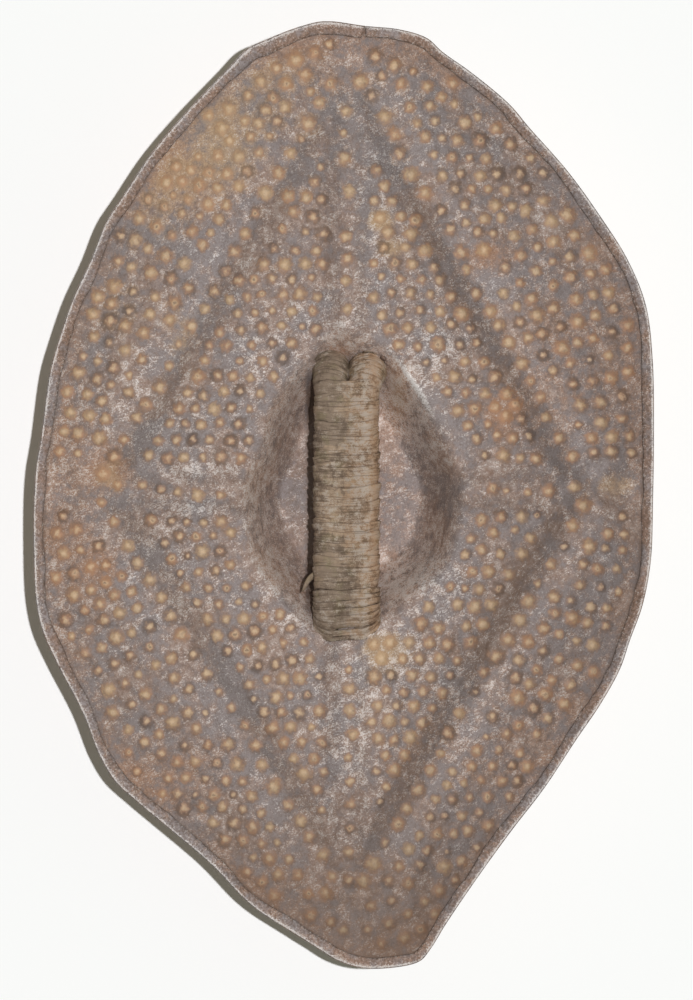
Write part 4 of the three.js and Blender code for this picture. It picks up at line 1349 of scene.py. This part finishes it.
class SHIELD_OT_lower_thong(bpy.types.Operator):
    """Wind the broad turns at the bottom, bunched on their right and sagging between the rods"""

    bl_idname = "iron_shield.lower_thong"
    bl_label = "Lower thong"

    steps = 64

    def execute(self, context):
        sizes = settings().grip
        turns = sizes.lower_turns
        top = MAIN_BOTTOM + 0.8 * MM
        bottom = min(seat_of(-1, -1, ROD_RADIUS), seat_of(1, -1, ROD_RADIUS)) + 1 * MM
        pitch = (top - bottom) / (turns + 0.6)
        shares = np.linspace(-TURN_START, turns + 0.7, int((turns + 0.8) * self.steps))
        bunch = 0.9 * MM * np.cos(2 * math.pi * (shares - 0.2)) + 0.3 * MM * ripple(72, 0.25)(shares, 0)
        # The last turns sag between the rods on the holder's side
        past_crossing = (shares + 0.0625) % 1 - 0.5
        sag = 2.4 * MM * np.exp(-((past_crossing / 0.09) ** 2)) * ease(shares, turns - 3, turns)
        lengths = top - pitch * 0.5 - (shares + TURN_START) * pitch + bunch * ease(shares, 0, 0.5) - sag
        radius = COIL_RADIUS + 0.1 * MM + 0.3 * MM * ripple(71, 0.4)(shares, 0)
        half_width = pitch * (0.66 - 0.08 * np.cos(2 * math.pi * (shares - 0.25))) + sag * 0.3
        thickness = sizes.thong_thickness * 1.1 + sag * 0.3
        tones = turn_tones(73, shares, 0.6)
        winding = wind(pair_turn, shares, lengths, radius, half_width, thickness, tones)
        add_thong("lower_thong", "lower_winding", thong_finish("lower_hide_thong", sizes, 0.12), winding)
        return {"FINISHED"}


class SHIELD_OT_top_thongs(bpy.types.Operator):
    """Wind the turns round each rod alone at the top"""

    bl_idname = "iron_shield.top_thongs"
    bl_label = "Top thongs"

    steps = 40

    def execute(self, context):
        sizes = settings().grip
        turns = sizes.top_turns
        shares = np.linspace(0, turns, turns * self.steps)
        for side, name, seed, bulge in ((-1, "left", 81, 0.2 * MM), (1, "right", 91, 1.1 * MM)):
            bottom = MAIN_TOP - 3 * MM
            pitch = (seat_of(side, 1, ROD_RADIUS) - 0.5 * MM - bottom) / (turns + 0.4)
            lengths = bottom + pitch * 0.6 + shares * pitch + 0.25 * MM * ripple(seed + 3, 0.3)(shares, 0)
            radius = COIL_RADIUS - 0.1 * MM + per_turn(seed, shares, 0.25 * MM)
            radius = radius + bulge * ease(shares, 1, 3) * (1 - ease(shares, turns - 2, turns))
            half_width = pitch * (0.75 + 0.08 * ripple(seed + 1, 0.4)(shares, 0))
            thickness = np.full_like(shares, sizes.thong_thickness)
            tones = turn_tones(seed + 2, shares, 0.7)
            winding = wind(single_turn(side), shares, lengths, radius, half_width, thickness, tones)
            finish = thong_finish(f"{name}_top_hide", sizes, 0.05)
            add_thong(f"{name}_top_thong", f"{name}_top_wrap", finish, winding)
        return {"FINISHED"}


class SHIELD_OT_nail(bpy.types.Operator):
    """Make the small nail through the sheet, from its low domed head to its point on the front"""

    bl_idname = "iron_shield.nail"
    bl_label = "Nail"

    # Way along the normal and radius, in millimetres: the head, the shank and its end
    profile = [
        (-1.5, 0.5), (-1.45, 1.1), (-1.2, 1.8), (-0.8, 2.2), (-0.35, 2.25), (-0.2, 1.9), (-0.2, 1.1),
        (1.0, 1.1), (2.4, 1.05), (2.9, 0.9), (3.1, 0.5),
    ]
    corners = 20

    def execute(self, context):
        middle = np.array([NAIL_X, back_level(NAIL_X, NAIL_Z), NAIL_Z])
        normal, first, second = square_frame(NAIL_X, NAIL_Z)
        way, radii = (np.array(self.profile) * MM).T[..., None]
        angle = around(self.corners)
        wobble = 1 + 0.06 * np.sin(3 * angle) + 0.04 * np.cos(2 * angle)
        rings = circles(middle + way[..., None] * normal, radii * wobble, self.corners, first, second)
        points, faces = close_tube(rings)
        material = forged_finish(settings().plate, settings().grip.iron)
        add_piece("nail", points, faces, ["grip_nail"], material)
        return {"FINISHED"}


def sun(name, strength, size, heading, colour):
    """A far lamp whose light comes from a heading."""
    lamp = bpy.data.lights.new(name, "SUN")
    lamp.energy = strength
    lamp.angle = size
    lamp.color = colour
    thing = bpy.data.objects.new(name, lamp)
    x, y, z = np.array(heading) / np.linalg.norm(heading)
    thing.rotation_euler = (math.acos(z), 0, math.atan2(y, x) + math.pi / 2)
    bpy.context.scene.collection.objects.link(thing)


class SHIELD_OT_stage(bpy.types.Operator):
    """Set the white ground close behind the shield, the lamps and the camera"""

    bl_idname = "iron_shield.stage"
    bl_label = "Stage"

    key_rise = 0.02
    key_colour = (0.99, 0.98, 1.0)
    # A softer lamp for the front, above it and to its right
    front_strength = 2.2
    front_size = math.radians(12)
    front_heading = (-0.35, 1.0, 0.6)
    front_colour = (1.0, 0.99, 0.98)
    fill_colour = (0.94, 1.0, 0.8, 1.0)

    def execute(self, context):
        stage = settings().stage
        scene = context.scene
        scene.view_settings.view_transform = "Standard"
        self.ground(stage)
        self.world(scene, stage)
        turn = stage.key_turn
        heading = (math.sin(turn), -math.cos(turn), self.key_rise)
        sun("key", stage.key_strength, stage.key_size, heading, self.key_colour)
        sun("front_key", self.front_strength, self.front_size, self.front_heading, self.front_colour)
        self.camera(scene)
        return {"FINISHED"}

    def ground(self, stage):
        """The plane behind the shield. It is seen from the holder's side only, and lets all other light
        through."""
        level = float(CAD_HIGH[1]) + GROUND_BEHIND
        corners = [(-1, -1), (1, -1), (1, 1), (-1, 1)]
        mesh = bpy.data.meshes.new("ground")
        mesh.from_pydata([(x * GROUND_HALF, level, z * GROUND_HALF) for x, z in corners], [], [(0, 1, 2, 3)])
        finish = Finish("white_ground", Base_Color=stage.ground, Roughness=1.0, Specular_IOR_Level=0.0)
        clear = finish.node("ShaderNodeBsdfTransparent")
        behind = finish.node("ShaderNodeNewGeometry", output="Backfacing")
        white = Wire(finish, finish.shader.outputs[0])
        seen = finish.node("ShaderNodeMixShader", inputs={0: behind, 1: white, 2: clear})
        finish.feed(finish.output, {"Surface": seen})
        mesh.materials.append(finish.material)
        thing = bpy.data.objects.new("ground", mesh)
        bpy.context.scene.collection.objects.link(thing)
        for kind in ("diffuse", "glossy", "transmission", "shadow"):
            setattr(thing, f"visible_{kind}", False)
        thing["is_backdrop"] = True

    def world(self, scene, stage):
        """Light from all round, stronger from the holder's right, which shows as the ground's white to the
        camera and in reflections."""
        scene.world = bpy.data.worlds.new("surroundings")
        net = Net(scene.world)
        x, _, _ = net.split(net.node("ShaderNodeTexCoord", output="Generated"))
        strength = x * (stage.fill_lean * stage.fill_strength) + stage.fill_strength
        fill = net.node("ShaderNodeBackground", inputs={"Color": self.fill_colour, "Strength": strength})
        white = net.node("ShaderNodeBackground", inputs={"Color": stage.ground})
        paths = net.add("ShaderNodeLightPath").outputs
        camera, glossy, through = (
            Wire(net, paths[f"Is {kind} Ray"]) for kind in ("Camera", "Glossy", "Transmission")
        )
        shown = camera.at_least(glossy).at_least(through)
        mixed = net.node("ShaderNodeMixShader", inputs={0: shown, 1: fill, 2: white})
        net.add("ShaderNodeOutputWorld", inputs={"Surface": mixed})

    def camera(self, scene):
        """Square to the shield, far off, with the photograph's frame on the rim's level."""
        lens = bpy.data.cameras.new("camera")
        lens.sensor_width = CAMERA_SENSOR
        lens.lens = CAMERA_SENSOR * CAMERA_DISTANCE / (FRAME_HIGH * PIXEL)
        camera = bpy.data.objects.new("camera", lens)
        camera.location = (0, RIM_LEVEL - CAMERA_DISTANCE, -CAMERA_DROP)
        camera.rotation_euler = (math.pi / 2, 0, 0)
        scene.collection.objects.link(camera)
        scene.camera = camera


class SHIELD_PT_panel(bpy.types.Panel):
    """Lists the shield's pieces in the sidebar of the 3D view"""

    bl_idname = "SHIELD_PT_panel"
    bl_label = "Iron shield"
    bl_space_type = "VIEW_3D"
    bl_region_type = "UI"
    bl_category = "Iron shield"

    def draw(self, context):
        for operator in OPERATORS:
            self.layout.operator(operator.bl_idname)
        for group in (settings().plate, settings().grip, settings().stage):
            box = self.layout.box()
            for name in group.__annotations__:
                box.prop(group, name)


SETTINGS = (PlateSettings, GripSettings, StageSettings, ShieldSettings)
OPERATORS = (
    SHIELD_OT_stage, SHIELD_OT_plate, SHIELD_OT_turned_edge, SHIELD_OT_rods, SHIELD_OT_paddings,
    SHIELD_OT_main_thong, SHIELD_OT_lower_thong, SHIELD_OT_top_thongs, SHIELD_OT_nail,
)


def register():
    for kind in (*SETTINGS, *OPERATORS, SHIELD_PT_panel):
        bpy.utils.register_class(kind)
    bpy.types.Scene.iron_shield = bpy.props.PointerProperty(type=ShieldSettings)


def unregister():
    del bpy.types.Scene.iron_shield
    for kind in reversed((*SETTINGS, *OPERATORS, SHIELD_PT_panel)):
        bpy.utils.unregister_class(kind)


def main():
    register()
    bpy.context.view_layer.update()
    for operator in OPERATORS:
        family, name = operator.bl_idname.split(".")
        getattr(getattr(bpy.ops, family), name)()


if __name__ == "__main__":
    main()
